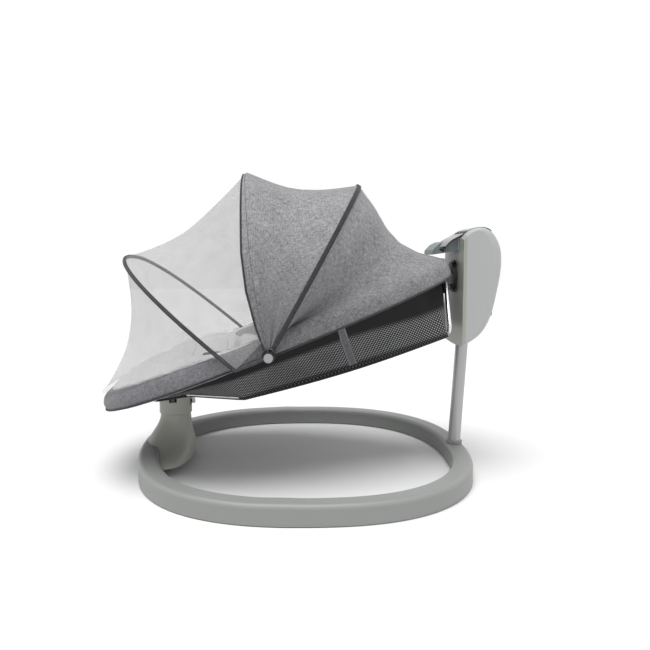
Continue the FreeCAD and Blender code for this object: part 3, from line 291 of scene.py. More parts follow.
def gridPiece(name, grid, material, wrapRows=False, wrapColumns=False, capped=False):
    grid = np.asarray(grid, float)
    rows, columns = grid.shape[:2]
    downStep = np.linalg.norm(np.roll(grid, -1, axis=0) - grid, axis=2).mean(axis=1)
    acrossStep = np.linalg.norm(np.roll(grid, -1, axis=1) - grid, axis=2).mean(axis=0)
    down = np.concatenate([[0], np.cumsum(downStep)])
    across = np.concatenate([[0], np.cumsum(acrossStep)])
    faces = []
    corners = []
    for row in range(rows if wrapRows else rows - 1):
        for column in range(columns if wrapColumns else columns - 1):
            ring = [(row, column), (row, column + 1), (row + 1, column + 1), (row + 1, column)]
            faces.append([(r % rows) * columns + c % columns for r, c in ring])
            corners += [(across[c], down[r]) for r, c in ring]
    if capped:
        for row in (0, rows - 1):
            ring = [row * columns + column for column in range(columns)]
            if row == 0:
                ring.reverse()
            faces.append(ring)
            corners += [(across[index % columns], down[row]) for index in ring]
    corners = np.array(corners) * mm
    wide = across[columns if wrapColumns else columns - 1]
    tall = down[rows if wrapRows else rows - 1]
    cutSizes[name] = (wide * mm, tall * mm)
    return smoothMesh(name, grid.reshape(-1, 3) * mm, faces, material, corners)


def settle(piece):  # modifiers become plain mesh
    graph = bpy.context.evaluated_depsgraph_get()
    finished = piece.evaluated_get(graph)
    fresh = bpy.data.meshes.new_from_object(finished, preserve_all_data_layers=True, depsgraph=graph)
    piece.modifiers.clear()
    piece.data = fresh
    return piece


def thickened(piece, thickness, offset=0.0):
    wall = piece.modifiers.new("wall", "SOLIDIFY")
    wall.thickness = thickness * mm
    wall.offset = offset
    return settle(piece)


def rippled(points, height, scale, seed):  # small soft lumps, the same each run
    flat = np.asarray(points, float).reshape(-1, 3)
    lumps = [noise.noise(Vector(point) / scale + Vector((seed, seed * 0.37, 0))) for point in flat]
    return height * np.array(lumps).reshape(np.asarray(points).shape[:-1])


def gridNormals(grid, wrapRows=False, wrapColumns=False):
    def step(axis, wrap):
        if wrap:
            return np.roll(grid, -1, axis=axis) - np.roll(grid, 1, axis=axis)
        return np.gradient(grid, axis=axis)
    normal = np.cross(step(0, wrapRows), step(1, wrapColumns))
    return normal / np.maximum(np.linalg.norm(normal, axis=2, keepdims=True), 1e-12)


def newTree(name, sizes):
    tree = bpy.data.node_groups.new(name, "GeometryNodeTree")
    tree.interface.new_socket("Geometry", in_out="INPUT", socket_type="NodeSocketGeometry")
    tree.interface.new_socket("Geometry", in_out="OUTPUT", socket_type="NodeSocketGeometry")
    for label, kind in sizes.items():
        tree.interface.new_socket(label, in_out="INPUT", socket_type=kind)
    return tree


def treeNode(tree, kind, settings, sockets):
    node = tree.nodes.new(kind)
    for key, value in settings.items():
        setattr(node, key, value)
    for key, value in sockets.items():
        if isinstance(value, bpy.types.NodeSocket):
            tree.links.new(value, node.inputs[key])
        else:
            node.inputs[key].default_value = value
    return node


def grown(piece, tree, values):
    modifier = piece.modifiers.new("grow", "NODES")
    modifier.node_group = tree
    for item in tree.interface.items_tree:
        if item.in_out == "INPUT" and item.name in values:
            modifier[item.identifier] = values[item.name]
    return settle(piece)


def pathPiece(name, points, closed=False):
    points = np.asarray(points) * mm
    mesh = bpy.data.meshes.new(name)
    count = len(points)
    edges = [(index, (index + 1) % count) for index in range(count if closed else count - 1)]
    mesh.from_pydata([tuple(point) for point in points], edges, [])
    piece = bpy.data.objects.new(name, mesh)
    bpy.context.scene.collection.objects.link(piece)
    return piece


def pipingTree():  # a round cord along a path
    tree = newTree("piping", {"Radius": "NodeSocketFloat", "Material": "NodeSocketMaterial"})
    source = tree.nodes.new("NodeGroupInput")
    curve = treeNode(tree, "GeometryNodeMeshToCurve", {}, {"Mesh": source.outputs["Geometry"]})
    circle = treeNode(tree, "GeometryNodeCurvePrimitiveCircle", {},
                      {"Resolution": 10, "Radius": source.outputs["Radius"]})
    solid = treeNode(tree, "GeometryNodeCurveToMesh", {},
                     {"Curve": curve.outputs[0], "Profile Curve": circle.outputs[0], "Fill Caps": True})
    plain = treeNode(tree, "GeometryNodeRealizeInstances", {}, {"Geometry": solid.outputs[0]})
    painted = treeNode(tree, "GeometryNodeSetMaterial", {},
                       {"Geometry": plain.outputs[0], "Material": source.outputs["Material"]})
    treeNode(tree, "NodeGroupOutput", {}, {"Geometry": painted.outputs[0]})
    return tree


def stitchTree():  # short threads in a row along a path
    tree = newTree("stitches", {"Pitch": "NodeSocketFloat", "Thread": "NodeSocketFloat",
                                "Reach": "NodeSocketFloat", "Material": "NodeSocketMaterial"})
    source = tree.nodes.new("NodeGroupInput")
    curve = treeNode(tree, "GeometryNodeMeshToCurve", {}, {"Mesh": source.outputs["Geometry"]})
    places = treeNode(tree, "GeometryNodeCurveToPoints", {"mode": "LENGTH"},
                      {"Curve": curve.outputs[0], "Length": source.outputs["Pitch"]})
    thread = treeNode(tree, "GeometryNodeMeshCylinder", {},
                      {"Vertices": 5, "Radius": source.outputs["Thread"], "Depth": source.outputs["Reach"]})
    row = treeNode(tree, "GeometryNodeInstanceOnPoints", {},
                   {"Points": places.outputs["Points"], "Instance": thread.outputs["Mesh"],
                    "Rotation": places.outputs["Rotation"]})
    plain = treeNode(tree, "GeometryNodeRealizeInstances", {}, {"Geometry": row.outputs[0]})
    painted = treeNode(tree, "GeometryNodeSetMaterial", {},
                       {"Geometry": plain.outputs[0], "Material": source.outputs["Material"]})
    treeNode(tree, "NodeGroupOutput", {}, {"Geometry": painted.outputs[0]})
    return tree


trees = {"piping": pipingTree(), "stitches": stitchTree()}


def piping(name, points, radius, material, closed=False):
    sizes = {"Radius": radius * mm, "Material": material}
    piece = grown(pathPiece(name, points, closed), trees["piping"], sizes)
    piece.data.polygons.foreach_set("use_smooth", [True] * len(piece.data.polygons))
    return piece


def stitches(name, points, pitch, thread, material):
    sizes = {"Pitch": pitch * mm, "Thread": thread * mm, "Reach": pitch * 0.62 * mm, "Material": material}
    return grown(pathPiece(name, points), trees["stitches"], sizes)


def closedOut(piece):  # a closed shell's faces all look outward
    shell = bmesh.new()
    shell.from_mesh(piece.data)
    bmesh.ops.recalc_face_normals(shell, faces=shell.faces)
    shell.to_mesh(piece.data)
    shell.free()
    return piece


def spread(points, count, closed=False):  # the same line with evenly spaced points
    points = np.asarray(points, float)
    if closed:
        points = np.vstack([points, points[:1]])
    steps = np.concatenate([[0], np.cumsum(np.linalg.norm(np.diff(points, axis=0), axis=1))])
    wanted = np.linspace(0, steps[-1], count, endpoint=not closed)
    return np.stack([np.interp(wanted, steps, points[:, axis]) for axis in range(points.shape[1])], -1)


def rounded(points, times=3, closed=True):  # corners cut again and again
    points = np.asarray(points, float)
    for _ in range(times):
        after = np.roll(points, -1, axis=0)
        cut = np.stack([points * 0.75 + after * 0.25, points * 0.25 + after * 0.75], 1)
        cut = cut.reshape(-1, points.shape[1])
        points = cut if closed else np.vstack([points[:1], cut[1:-3], points[-1:]])
    return points


def tube(name, points, radius, material, sides, wide):  # a rod along a path, a little wider than tall
    points = np.asarray(points, float)
    along = np.gradient(points, axis=0)
    along /= np.linalg.norm(along, axis=1, keepdims=True)
    side = np.cross(along, (0.0, 1.0, 0.0))
    side /= np.maximum(np.linalg.norm(side, axis=1, keepdims=True), 1e-9)
    other = np.cross(side, along)
    turn = np.linspace(0, 2 * math.pi, sides, endpoint=False)
    grid = (points[:, None] + side[:, None] * (np.cos(turn) * radius)[None, :, None]
            + other[:, None] * (np.sin(turn) * radius * wide)[None, :, None])
    return closedOut(gridPiece(name, grid, material, wrapColumns=True, capped=True))


def declareSheet(piece):
    width, length = cutSizes[piece.name]
    area = sum(face.area for face in piece.data.polygons) / 2
    width, length = sorted((width, length))
    need = max(1.0, area / (width * length) * 1.001)
    width * need


hubLow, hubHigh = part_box("hub_pins")
hubX = (hubLow.x + hubHigh.x) / 2 / mm
hubZ = (hubLow.z + hubHigh.z) / 2 / mm
hub = np.array([hubX, 0, hubZ])  # midway between the two canopy hinges
seat = {"x": hubX - 323, "z": hubZ - 116, "slope": math.radians(21.04), "length": 714, "half": 200,
        "power": 2.4, "taper": 0.17, "inset": 14, "hubAlong": 343}
lean = np.array([math.cos(seat["slope"]), math.sin(seat["slope"])])


def seatPoint(along, across, up):
    along, across, up = np.broadcast_arrays(np.asarray(along, float), across, up)
    x = seat["x"] + along * lean[0] - up * lean[1]
    z = seat["z"] + along * lean[1] + up * lean[0]
    return np.stack([x, across, z], -1)


def rimPlace(degrees, outward):  # along and across, round the rim from the foot end
    angle = np.radians(degrees)
    half = seat["length"] / 2
    power = seat["power"]
    reach = half - seat["inset"] + outward
    width = seat["half"] + outward
    radius = ((abs(np.cos(angle)) / reach) ** power + (abs(np.sin(angle)) / width) ** power) ** (-1 / power)
    along = -radius * np.cos(angle)
    return half + along, radius * np.sin(angle) * (1 - seat["taper"] * along / half)


def rimPoint(degrees, outward, up):
    along, across = rimPlace(degrees, outward)
    return seatPoint(along, across, up)


def seatHalf(along, outward):  # half the seat's width at a distance from the foot tip
    half = seat["length"] / 2
    reach = half - seat["inset"] + outward
    share = np.minimum(1, abs(along - half) / reach)
    curve = (1 - share ** seat["power"]) ** (1 / seat["power"])
    return (seat["half"] + outward) * curve * (1 - seat["taper"] * (along - half) / half)


def hubPoint(degrees, reach, across):
    angle = np.radians(degrees)
    reach, across = np.broadcast_arrays(np.asarray(reach, float), across)
    return np.stack([hubX + reach * np.cos(angle), across, hubZ + reach * np.sin(angle)], -1)


def archPoint(degrees, reach, half, turn):
    power = 2 / seat["power"]
    out = reach * abs(np.sin(turn)) ** power
    return hubPoint(degrees, out, -half * np.sign(np.cos(turn)) * abs(np.cos(turn)) ** power)


def archLine(degrees, reach, half, least, count):  # from just above one hub to just above the other
    start = math.asin((least / reach) ** (seat["power"] / 2))
    turns = np.linspace(start, math.pi - start, 600)
    return spread(archPoint(degrees, reach, half, turns), count)


def leaningAxis(degrees):  # square to a rib that stands at these degrees, in the side view
    angle = math.radians(degrees)
    return np.array([-math.sin(angle), 0, math.cos(angle)])


def m(point):  # a point in metres
    return tuple(float(value) * mm for value in np.asarray(point).reshape(-1))


rim = {"wide": 11.5, "low": -12.0, "high": 22.5, "power": 3.0, "columns": 420, "rows": 32, "wrinkle": 0.55,
       "slant": 15.0, "footReach": 52, "footNarrow": 0.22, "piping": 1.5}


def footShare(degrees):  # 1 at the foot tip, fading to 0 round the corners
    away = np.minimum(np.asarray(degrees) % 360, 360 - np.asarray(degrees) % 360)
    return np.cos(np.clip(away / rim["footReach"], 0, 1) * math.pi / 2) ** 2


def buildRimCover():
    turns = np.linspace(0, 2 * math.pi, rim["rows"], endpoint=False)
    middle = (rim["low"] + rim["high"]) / 2
    tall = (rim["high"] - rim["low"]) / 2
    outward = rim["wide"] * np.sign(np.cos(turns)) * abs(np.cos(turns)) ** (2 / rim["power"])
    up = middle + tall * np.sign(np.sin(turns)) * abs(np.sin(turns)) ** (2 / rim["power"])
    degrees = np.linspace(0, 360, rim["columns"], endpoint=False)
    atFoot = footShare(degrees)
    slant = rim["slant"] * np.clip((up - 2) / 20, 0, None) ** 2
    narrow = 1 - rim["footNarrow"] * atFoot
    grid = np.stack([rimPoint(degrees, wide * narrow - slanted * atFoot, high)
                     for wide, high, slanted in zip(outward, up, slant)], 1)
    normals = gridNormals(grid, True, True)
    centre = grid.mean(axis=1, keepdims=True)
    normals *= np.sign(((grid - centre) * normals).sum(axis=2, keepdims=True))
    wrinkles = rippled(grid, rim["wrinkle"], 14, 3.1) + rippled(grid, rim["wrinkle"], 45, 8.2)
    grid += normals * (wrinkles - 0.3)[..., None]
    piece = closedOut(gridPiece("rim_cover", grid, cloth["rim"], True, True))
    edge = np.stack([rimPoint(spot, (rim["wide"] - 0.6) * (1 - rim["footNarrow"] * footShare(spot)),
                              rim["low"] + 4) for spot in degrees])
    cord = piping("rim_cover_piping", edge, rim["piping"], cloth["binding"], closed=True)
    for part in (piece, cord):
        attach(part, "seat")
    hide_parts("rim_sleeve")


sling = {
    "lower": [(0, 66, 0, -14), (20, 80, 36, -22), (32, 100, 47, -30), (44, 160, 51, -42),
              (67, 272, 156.5, -67), (159, 650, 104.5, -102.5), (165, 649, 98, -101), (172, 650, 70, -100),
              (180, 651, 0, -99)],
    "depth": [(34, 13), (84, 15), (132, 24), (180, 33), (272, 56), (450, 76), (644, 90), (690, 88)],
    "topUp": -8, "hemSag": 7.0, "columns": 26, "rows": 360, "thick": 1.2, "plain": 0.24, "piping": 1.4,
    "floorRows": 120, "floorColumns": 41, "strapAlong": 470, "strapWide": 15, "strapThick": 1.4,
}


def alongTable(table, at, column=1):
    table = np.asarray(table, float)
    return np.interp(at, table[:, 0], table[:, column])


def buildSlingWall():
    degrees = np.linspace(0, 360, sling["rows"], endpoint=False)
    folded = np.minimum(degrees, 360 - degrees)
    side = np.where(degrees <= 180, 1, -1)
    topOut = np.interp(folded, [0, 150, 158, 180], [8, 8, -7, -7])
    top = np.stack([rimPoint(spot, out, sling["topUp"]) for spot, out in zip(degrees, topOut)])
    low = [alongTable(sling["lower"], folded, column) for column in (1, 2, 3)]
    bottom = seatPoint(low[0], low[1] * side, low[2] + 0.5)
    drop = 3.2 + sling["hemSag"] * np.sin(np.clip((folded - 67) / 92, 0, 1) * math.pi)
    hem = seatPoint(low[0], (low[1] - 0.6) * side, low[2] - drop)
    shares = np.linspace(0, 1, sling["columns"])
    grid = top[:, None] * (1 - shares)[None, :, None] + bottom[:, None] * shares[None, :, None]
    middle = seatPoint(360, 0, -30)
    inward = middle[None, None] - grid
    inward /= np.linalg.norm(inward, axis=2, keepdims=True)
    sag = 3.0 * np.sin(shares * math.pi)[None, :] + rippled(grid, 1.2, 60, 4.4)
    inOrOut = np.interp(folded, [0, 156, 164, 180], [1, 1, -1.2, -1.2])[:, None]
    grid += inward * (sag * inOrOut * np.sin(shares * math.pi) ** 0.5)[..., None]
    grid = np.concatenate([grid, hem[:, None]], axis=1)
    wall = gridPiece("sling_wall", grid, cloth["sling"], wrapRows=True)
    shares = np.append(shares, 1)
    plain = np.interp(folded, [0, 120, 150, 180], [sling["plain"], sling["plain"], 0.42, 0.5])
    belowBand = np.clip((shares[None, :] - plain[:, None]) / 0.12, 0, 1)
    aboveHem = np.clip((1.02 - shares[None, :]) / 0.08, 0, 1)
    dotted = belowBand * aboveHem
    wall.data.attributes.new("open", "FLOAT", "POINT").data.foreach_set("value", dotted.ravel())
    closedOut(wall)
    return thickened(wall, sling["thick"]), hem


def buildSlingFloor():
    rows = np.linspace(4, 179, sling["floorRows"])
    low = [alongTable(sling["lower"], rows, column) for column in (1, 2, 3)]
    shares = np.linspace(-1, 1, sling["floorColumns"])
    centre = -alongTable(sling["depth"], low[0])
    inset = np.clip(low[1] - 13.6, low[1] * 0.75, None)
    up = centre[:, None] + (low[2] + 2 - centre)[:, None] * abs(shares)[None, :] ** 2
    grid = seatPoint(low[0][:, None], inset[:, None] * shares[None, :], up)
    floor = gridPiece("sling_floor", grid, cloth["sling"])
    dotted = np.ones(sling["floorRows"] * sling["floorColumns"])
    floor.data.attributes.new("open", "FLOAT", "POINT").data.foreach_set("value", dotted)
    return thickened(floor, sling["thick"])


def buildSling():
    wall, hem = buildSlingWall()
    floor = buildSlingFloor()
    edge = spread(hem, 400, closed=True)
    trim = piping("sling_edge_piping", edge, sling["piping"], cloth["binding"], closed=True)
    for part in (wall, floor, trim):
        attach(part, "seat")
    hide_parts("mesh_sling")
    declareSheet(wall)
    declareSheet(floor)
    buildSideStraps()


def buildSideStraps():
    at = sling["strapAlong"]
    highSide = seatHalf(at, 8)
    rail = np.asarray(sling["lower"][4:6], float)  # the long straight stretch of the lower rail
    lowSide = np.interp(at, rail[:, 1], rail[:, 2])
    lowUp = np.interp(at, rail[:, 1], rail[:, 3])
    half = sling["strapWide"] / 2
    for side, word in ((-1, "near"), (1, "far")):
        rows = np.linspace(0, 1, 24)
        across = highSide + (lowSide - highSide) * rows + 0.9 - 2.4 * np.sin(rows * math.pi)
        up = sling["topUp"] + (lowUp - sling["topUp"]) * rows
        columns = np.linspace(-half, half, 7)
        grid = seatPoint(at + columns[None, :] + 0 * rows[:, None], side * across[:, None], up[:, None])
        strap = gridPiece("side_strap_" + word, grid, cloth["webbing"])
        thickened(strap, sling["strapThick"])
        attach(strap, "seat")
        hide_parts("side_straps")
        declareSheet(strap)
        for edge in (-1, 1):
            line = seatPoint(at + edge * (half - 2), side * (across + 1.0), up)
            thread = stitches("strap_stitches_%s_%d" % (word, edge), line, 3.2, 0.35, cloth["bolster"])
            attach(thread, "seat")


liner = {"first": 22, "last": 664, "rows": 110, "columns": 110, "thick": 26, "rounding": 12,
         "channels": (112, 176, 244, 330, 412, 490, 568, 630), "groove": 4.5, "grooveWide": 7.0,
         "floor": [(22, 40), (84, 82), (132, 108), (272, 128), (450, 108), (664, 70)],
         "crown": [(22, 24), (50, 36), (90, 43), (150, 46), (205, 41), (250, 30), (300, 22), (664, 14)],
         "lip": [(22, 10), (90, 11), (190, 9), (245, 0), (664, 0)],
         "dimple": {"along": 66, "inside": 34, "halfLong": 40, "halfWide": 18, "deep": 7},
         "voxel": 6.0, "swell": 7.0, "pressure": 3.0}


def linerSection(along):
    edge = float(seatHalf(along, -12.4))
    lap = float(alongTable(liner["lip"], along))
    crown = float(alongTable(liner["crown"], along))
    low = -float(alongTable(sling["depth"], along)) + 4.4
    high = low + liner["thick"]
    floor = min(float(alongTable(liner["floor"], along)), edge - 10)
    middle = high + (crown - high) * (0.45 if along < 260 else 0.0)
    if edge < 60 or along < 34:
        low = 23.0
        floor = edge - 6
    corners = [(floor * 0.6, low), (floor, low), ((floor + edge) / 2, (low - 4) / 2 - 2),
               (edge - 2, max(low, -4.0)), (edge, max(low, 14.0)), (edge + 0.2, 23.6), (edge + lap, 23.6),
               (edge + lap, 25.4), (edge + lap * 0.4, 27), (edge - 9, max(crown * 0.8, 20)),
               (edge - 24, crown), (edge - 44, (crown + middle) / 2 + 2), (floor * 0.5, middle)]
    left = [(-across, up) for across, up in corners[::-1]]
    return spread(rounded(corners + left, 3), liner["columns"], closed=True)


def buildLiner():
    stations = np.linspace(liner["first"], liner["last"], liner["rows"])
    grid = []
    for along in stations:
        section = linerSection(along)
        inEnd = min(along - liner["first"], liner["last"] - along)
        roll = math.sqrt(max(0.02, 1 - (1 - min(1, inEnd / liner["rounding"])) ** 2))
        middle = section[:, 1].mean()
        section[:, 1] = middle + (section[:, 1] - middle) * roll
        back = 0.4 * np.clip((along - 560) / 100, 0, 1) * np.minimum(section[:, 1], 0)
        grid.append(seatPoint(along + back, section[:, 0], section[:, 1]))
    grid = np.stack(grid)
    normals = gridNormals(grid, False, True)
    up = seatPoint(0, 0, 1) - seatPoint(0, 0, 0)
    normals *= np.sign(np.sum(normals[:, liner["columns"] // 4] @ up))
    floorSide = normals @ up > 0.2
    groove = sum(np.exp(-((stations - at) / liner["grooveWide"]) ** 2) for at in liner["channels"])
    dimple = liner["dimple"]
    fold = -(seatHalf(stations, -12.4) - dimple["inside"])[:, None]
    fromFold = ((stations[:, None] - dimple["along"]) / dimple["halfLong"]) ** 2
    fromFold = fromFold + ((grid[..., 1] - fold) / dimple["halfWide"]) ** 2
    sunk = liner["groove"] * groove[:, None] + dimple["deep"] * np.exp(-fromFold ** 2)
    lift = np.where(floorSide, -sunk, 0)
    grid += normals * (lift + rippled(grid, 0.8, 38, 6.6))[..., None]
    piece = closedOut(gridPiece("seat_liner", grid, cloth["cushion"], wrapColumns=True, capped=True))
    swell(piece, liner, lambda point: seamPull(point, liner["channels"], 5.0))
    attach(piece, "seat")
    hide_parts("seat_cushion")
    tree = BVHTree.FromObject(piece, bpy.context.evaluated_depsgraph_get())
    for index, at in enumerate(liner["channels"][1:-1]):
        half = float(seatHalf(at, -30)) * 0.72
        line = dropped(tree, [(at, across) for across in np.linspace(-half, half, 60)])
        if len(line) > 8:
            seam = stitches("liner_stitches_%d" % index, line, 4.0, 0.4, cloth["bolster"])
            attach(seam, "seat")


def seamPull(point, channels, wide):  # 1 on a sewn line, 0 between them
    along = (point.x / mm - seat["x"]) * lean[0] + (point.z / mm - seat["z"]) * lean[1]
    return max(math.exp(-((along - at) / wide) ** 2) for at in channels)


def dropped(tree, places):  # points laid down onto a surface
    line = []
    down = Vector(m(seatPoint(0, 0, -1) - seatPoint(0, 0, 0))).normalized()
    for along, across in places:
        start = Vector(m(seatPoint(along, across, 80)))
        hit = tree.ray_cast(start, down)[0]
        if hit is not None:
            line.append(np.array(hit) / mm - np.array(down) * 0.3)
    return line


filling = {"quality": 3, "mass": 0.3, "stretch": 12, "bending": 0.6, "frames": 20}


def swell(piece, sizes, pull):  # a sewn shell blown up a little, held along its seams
    start = piece.copy()
    start.data = piece.data.copy()
    bpy.context.scene.collection.objects.link(start)
    remesh = start.modifiers.new("even", "REMESH")
    remesh.mode = "VOXEL"
    remesh.voxel_size = sizes["voxel"] * mm
    settle(start)
    rest = np.array([vertex.co for vertex in start.data.vertices])
    group = start.vertex_groups.new(name="sewn")
    for vertex in start.data.vertices:
        group.add([vertex.index], float(pull(vertex.co)), "REPLACE")
    sim = start.modifiers.new("fill", "CLOTH")
    sim.settings.use_pressure = True
    sim.settings.uniform_pressure_force = sizes["pressure"]
    sim.settings.vertex_group_mass = "sewn"
    sim.settings.quality = filling["quality"]
    sim.settings.mass = filling["mass"]
    sim.settings.tension_stiffness = filling["stretch"]
    sim.settings.compression_stiffness = filling["stretch"]
    sim.settings.bending_stiffness = filling["bending"]
    sim.settings.effector_weights.gravity = 0
    sim.collision_settings.use_collision = False
    scene = bpy.context.scene
    for step in range(1, filling["frames"] + 1):
        scene.frame_set(step)
    graph = bpy.context.evaluated_depsgraph_get()
    blown = start.evaluated_get(graph)
    now = np.array([vertex.co for vertex in blown.data.vertices])
    move = now - rest
    far = np.linalg.norm(move, axis=1, keepdims=True)
    move *= np.minimum(1, sizes["swell"] * mm / np.maximum(far, 1e-9))
    start.modifiers.clear()
    start.data.vertices.foreach_set("co", (rest + move).astype(np.float32).ravel())
    start.data.update()
    smooth = start.modifiers.new("fine", "SUBSURF")
    smooth.levels = 1
    smooth.render_levels = 1
    settle(start)
    start.data.polygons.foreach_set("use_smooth", [True] * len(start.data.polygons))
    scene.frame_set(1)
    piece.data = start.data
    bpy.data.objects.remove(start)
    return piece


bolster = {"first": 215, "last": 540, "rows": 60, "columns": 40, "rounding": 34,
           "voxel": 4.5, "swell": 3.0, "pressure": 2.5}


def buildBolsters():
    for side, word in ((-1, "near"), (1, "far")):
        stations = np.linspace(bolster["first"], bolster["last"], bolster["rows"])
        grid = []
        for along in stations:
            edge = float(seatHalf(along, -12.2)) - 15
            low = -float(alongTable(sling["depth"], along)) + 32
            inEnd = min(along - bolster["first"], bolster["last"] - along)
            roll = math.sqrt(max(0.02, 1 - (1 - min(1, inEnd / bolster["rounding"])) ** 2))
            corners = np.array([(edge - 38, low + 4), (edge - 16, low), (edge - 6, -8), (edge, 18),
                                (edge - 8, 27), (edge - 22, 18), (edge - 42, low + 22)])
            middle = corners.mean(axis=0)
            section = spread(rounded(middle + (corners - middle) * roll, 3), bolster["columns"], closed=True)
            grid.append(seatPoint(along, side * section[:, 0], section[:, 1]))
        grid = np.stack(grid)
        shell = gridPiece("side_bolster_" + word, grid, cloth["bolster"], wrapColumns=True, capped=True)
        piece = closedOut(shell)
        swell(piece, bolster, lambda point: 0.0)
        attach(piece, "seat")
        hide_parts("side_pads")


harness = {"crotch": [(206, 0), (244, 0), (284, 0)],
           "shoulder": [(566, 48), (500, 44), (440, 39), (380, 30), (318, 14)],
           "waist": [(300, 30), (296, 60), (292, 100)],
           "half": 11, "thick": 1.5, "lift": 1.4, "rows": 40, "columns": 7}


def buildHarness():  # the webbing lies on the liner, wherever its surface is
    under = bpy.data.objects["seat_liner"]
    tree = BVHTree.FromObject(under, bpy.context.evaluated_depsgraph_get())
    runs = {"crotch": harness["crotch"]}
    for side, word in ((-1, "near"), (1, "far")):
        for part in ("shoulder", "waist"):
            runs[part + "_" + word] = [(along, side * across) for along, across in harness[part]]
    for word, places in runs.items():
        centre = spread(rounded(places, 2, closed=False), harness["rows"])
        step = np.gradient(centre, axis=0)
        step /= np.linalg.norm(step, axis=1, keepdims=True)
        across = np.stack([-step[:, 1], step[:, 0]], -1)
        columns = np.linspace(-harness["half"], harness["half"], harness["columns"])
        grid = []
        for spot, way in zip(centre, across):
            line = dropped(tree, [spot + way * column for column in columns])
            if len(line) == len(columns):
                grid.append(line)
        grid = np.stack(grid)
        normals = seatPoint(0, 0, 1) - seatPoint(0, 0, 0)
        strap = gridPiece("harness_strap_" + word, grid + normals * harness["lift"], cloth["webbing"])
        thickened(strap, harness["thick"])
        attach(strap, "seat")
        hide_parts("harness_straps")
        declareSheet(strap)


canopy = {"half": 226, "frontLean": 98, "frontReach": 324.6, "midLean": 61, "midReach": 340.8, "hubGap": 14,
          "rows": 150, "columns": 44, "thick": 1.1, "seamPitch": 4.0, "thread": 0.4, "bandWide": 8.0,
          "washer": 7.9,
          "brim": [(0, 2), (0.15, 13), (0.35, 21), (0.55, 21), (0.8, 13), (1, 7)],
          "ridge": [(61, 341.6), (53, 331), (45, 322), (37, 326), (30, 343), (25.6, 369)],
          "wrap": [(6, 23.7), (11, 21.5), (13, 12), (12.9, 4), (12.7, -3), (12.3, -9.5)]}


def ribLine(rib):  # the cloth's line over the front or the middle rib
    return archLine(canopy[rib + "Lean"], canopy[rib + "Reach"], canopy["half"], canopy["hubGap"],
                    canopy["rows"])


def ridgeSag():  # how far the ridge lies inside a straight line from the middle rib to the nose
    table = np.asarray(canopy["ridge"], float)
    angles = np.radians(table[:, 0])
    places = np.stack([table[:, 1] * np.cos(angles), table[:, 1] * np.sin(angles)], -1)
    chord = places[-1] - places[0]
    length = np.linalg.norm(chord)
    chord /= length
    share = (places - places[0]) @ chord / length
    off = (places - places[0]) - np.outer(share * length, chord)
    return share, np.linalg.norm(off, axis=1)


def buildRearPanel():
    top = ribLine("mid")
    degrees = np.linspace(271, 89, 500)
    wraps = [spread(np.stack([rimPoint(spot, outward, up) for spot in degrees]), canopy["rows"])
             for outward, up in canopy["wrap"]]
    shares = np.linspace(0, 1, canopy["columns"]) ** 0.95
    share, off = ridgeSag()
    sag = np.interp(shares, share, off) + 7 * np.sin(shares * math.pi) ** 0.7
    around = np.linspace(0, 1, canopy["rows"])
    strength = np.sin(around * math.pi) ** 0.3 * 1.2
    grid = top[:, None] * (1 - shares)[None, :, None] + wraps[0][:, None] * shares[None, :, None]
    centre = np.array([hubX + 110, 0, hubZ + 60])
    inward = centre - grid
    inward /= np.linalg.norm(inward, axis=2, keepdims=True)
    lumps = rippled(grid, 2.2, 70, 1.7) + rippled(grid, 0.5, 16, 5.5)
    calm = np.sin(np.clip(shares, 0, 1) * math.pi) ** 0.6
    grid += inward * (sag[None, :] * strength[:, None] + lumps * calm[None, :])[..., None]
    grid = np.concatenate([grid] + [wrap[:, None] for wrap in wraps[1:]], axis=1)
    panel = gridPiece("canopy_rear_panel", grid, cloth["canopy"])
    thickened(panel, canopy["thick"])
    foldStart = m(seatPoint(seat["hubAlong"], 0, 5))
    foldEnd = m(seatPoint(seat["hubAlong"], 0, 219))
    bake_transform(panel)
    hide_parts("rear_gore")
    declareSheet(panel)
    hem = piping("canopy_rear_binding", wraps[-1], 1.7, cloth["binding"])
    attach(hem, "seat")
    seam = stitches("canopy_rear_stitches", wraps[-2], canopy["seamPitch"], canopy["thread"],
                    cloth["binding"])
    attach(seam, "seat")


def brimLine(front):  # the front edge, a little ahead of its rib
    forward = leaningAxis(canopy["frontLean"])
    tall = np.clip((front[:, 2] - hubZ) / (-canopy["frontReach"] * forward[0]), 0, 1)
    reach = np.interp(tall, *zip(*canopy["brim"]))
    outward = front - hub
    outward /= np.linalg.norm(outward, axis=1, keepdims=True)
    return front + forward * reach[:, None] - outward * (reach * 0.35)[:, None]


def buildFrontPanel():
    front = ribLine("front")
    back = ribLine("mid")
    shares = np.linspace(0, 1, canopy["columns"])
    grid = front[:, None] * (1 - shares)[None, :, None] + back[:, None] * shares[None, :, None]
    brim = brimLine(front)
    centre = np.array([hubX, 0, hubZ + 20])
    reach = grid - centre
    far = np.linalg.norm(reach, axis=2, keepdims=True)
    tall = np.clip((grid[..., 2] - hubZ) / 300, 0, 1)
    belly = np.sin(shares * math.pi)[None, :]
    sag = 20 * belly * tall ** 0.8
    creases = 2.2 * np.sin(shares * math.pi * 5)[None, :] * belly * (1 - tall) ** 2
    lumps = (rippled(grid, 2.0, 80, 2.9) + rippled(grid, 0.5, 17, 7.5)) * belly ** 0.6
    grid -= reach / far * (sag + creases + lumps)[..., None]
    over = np.linspace(0, 1, 7)[:-1][None, :, None]
    ahead = brim[:, None] * (1 - over) + front[:, None] * over
    grid = np.concatenate([ahead, grid], 1)
    panel = gridPiece("canopy_front_panel", grid, cloth["canopy"])
    thickened(panel, canopy["thick"])
    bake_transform(panel)
    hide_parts("front_gore")
    declareSheet(panel)


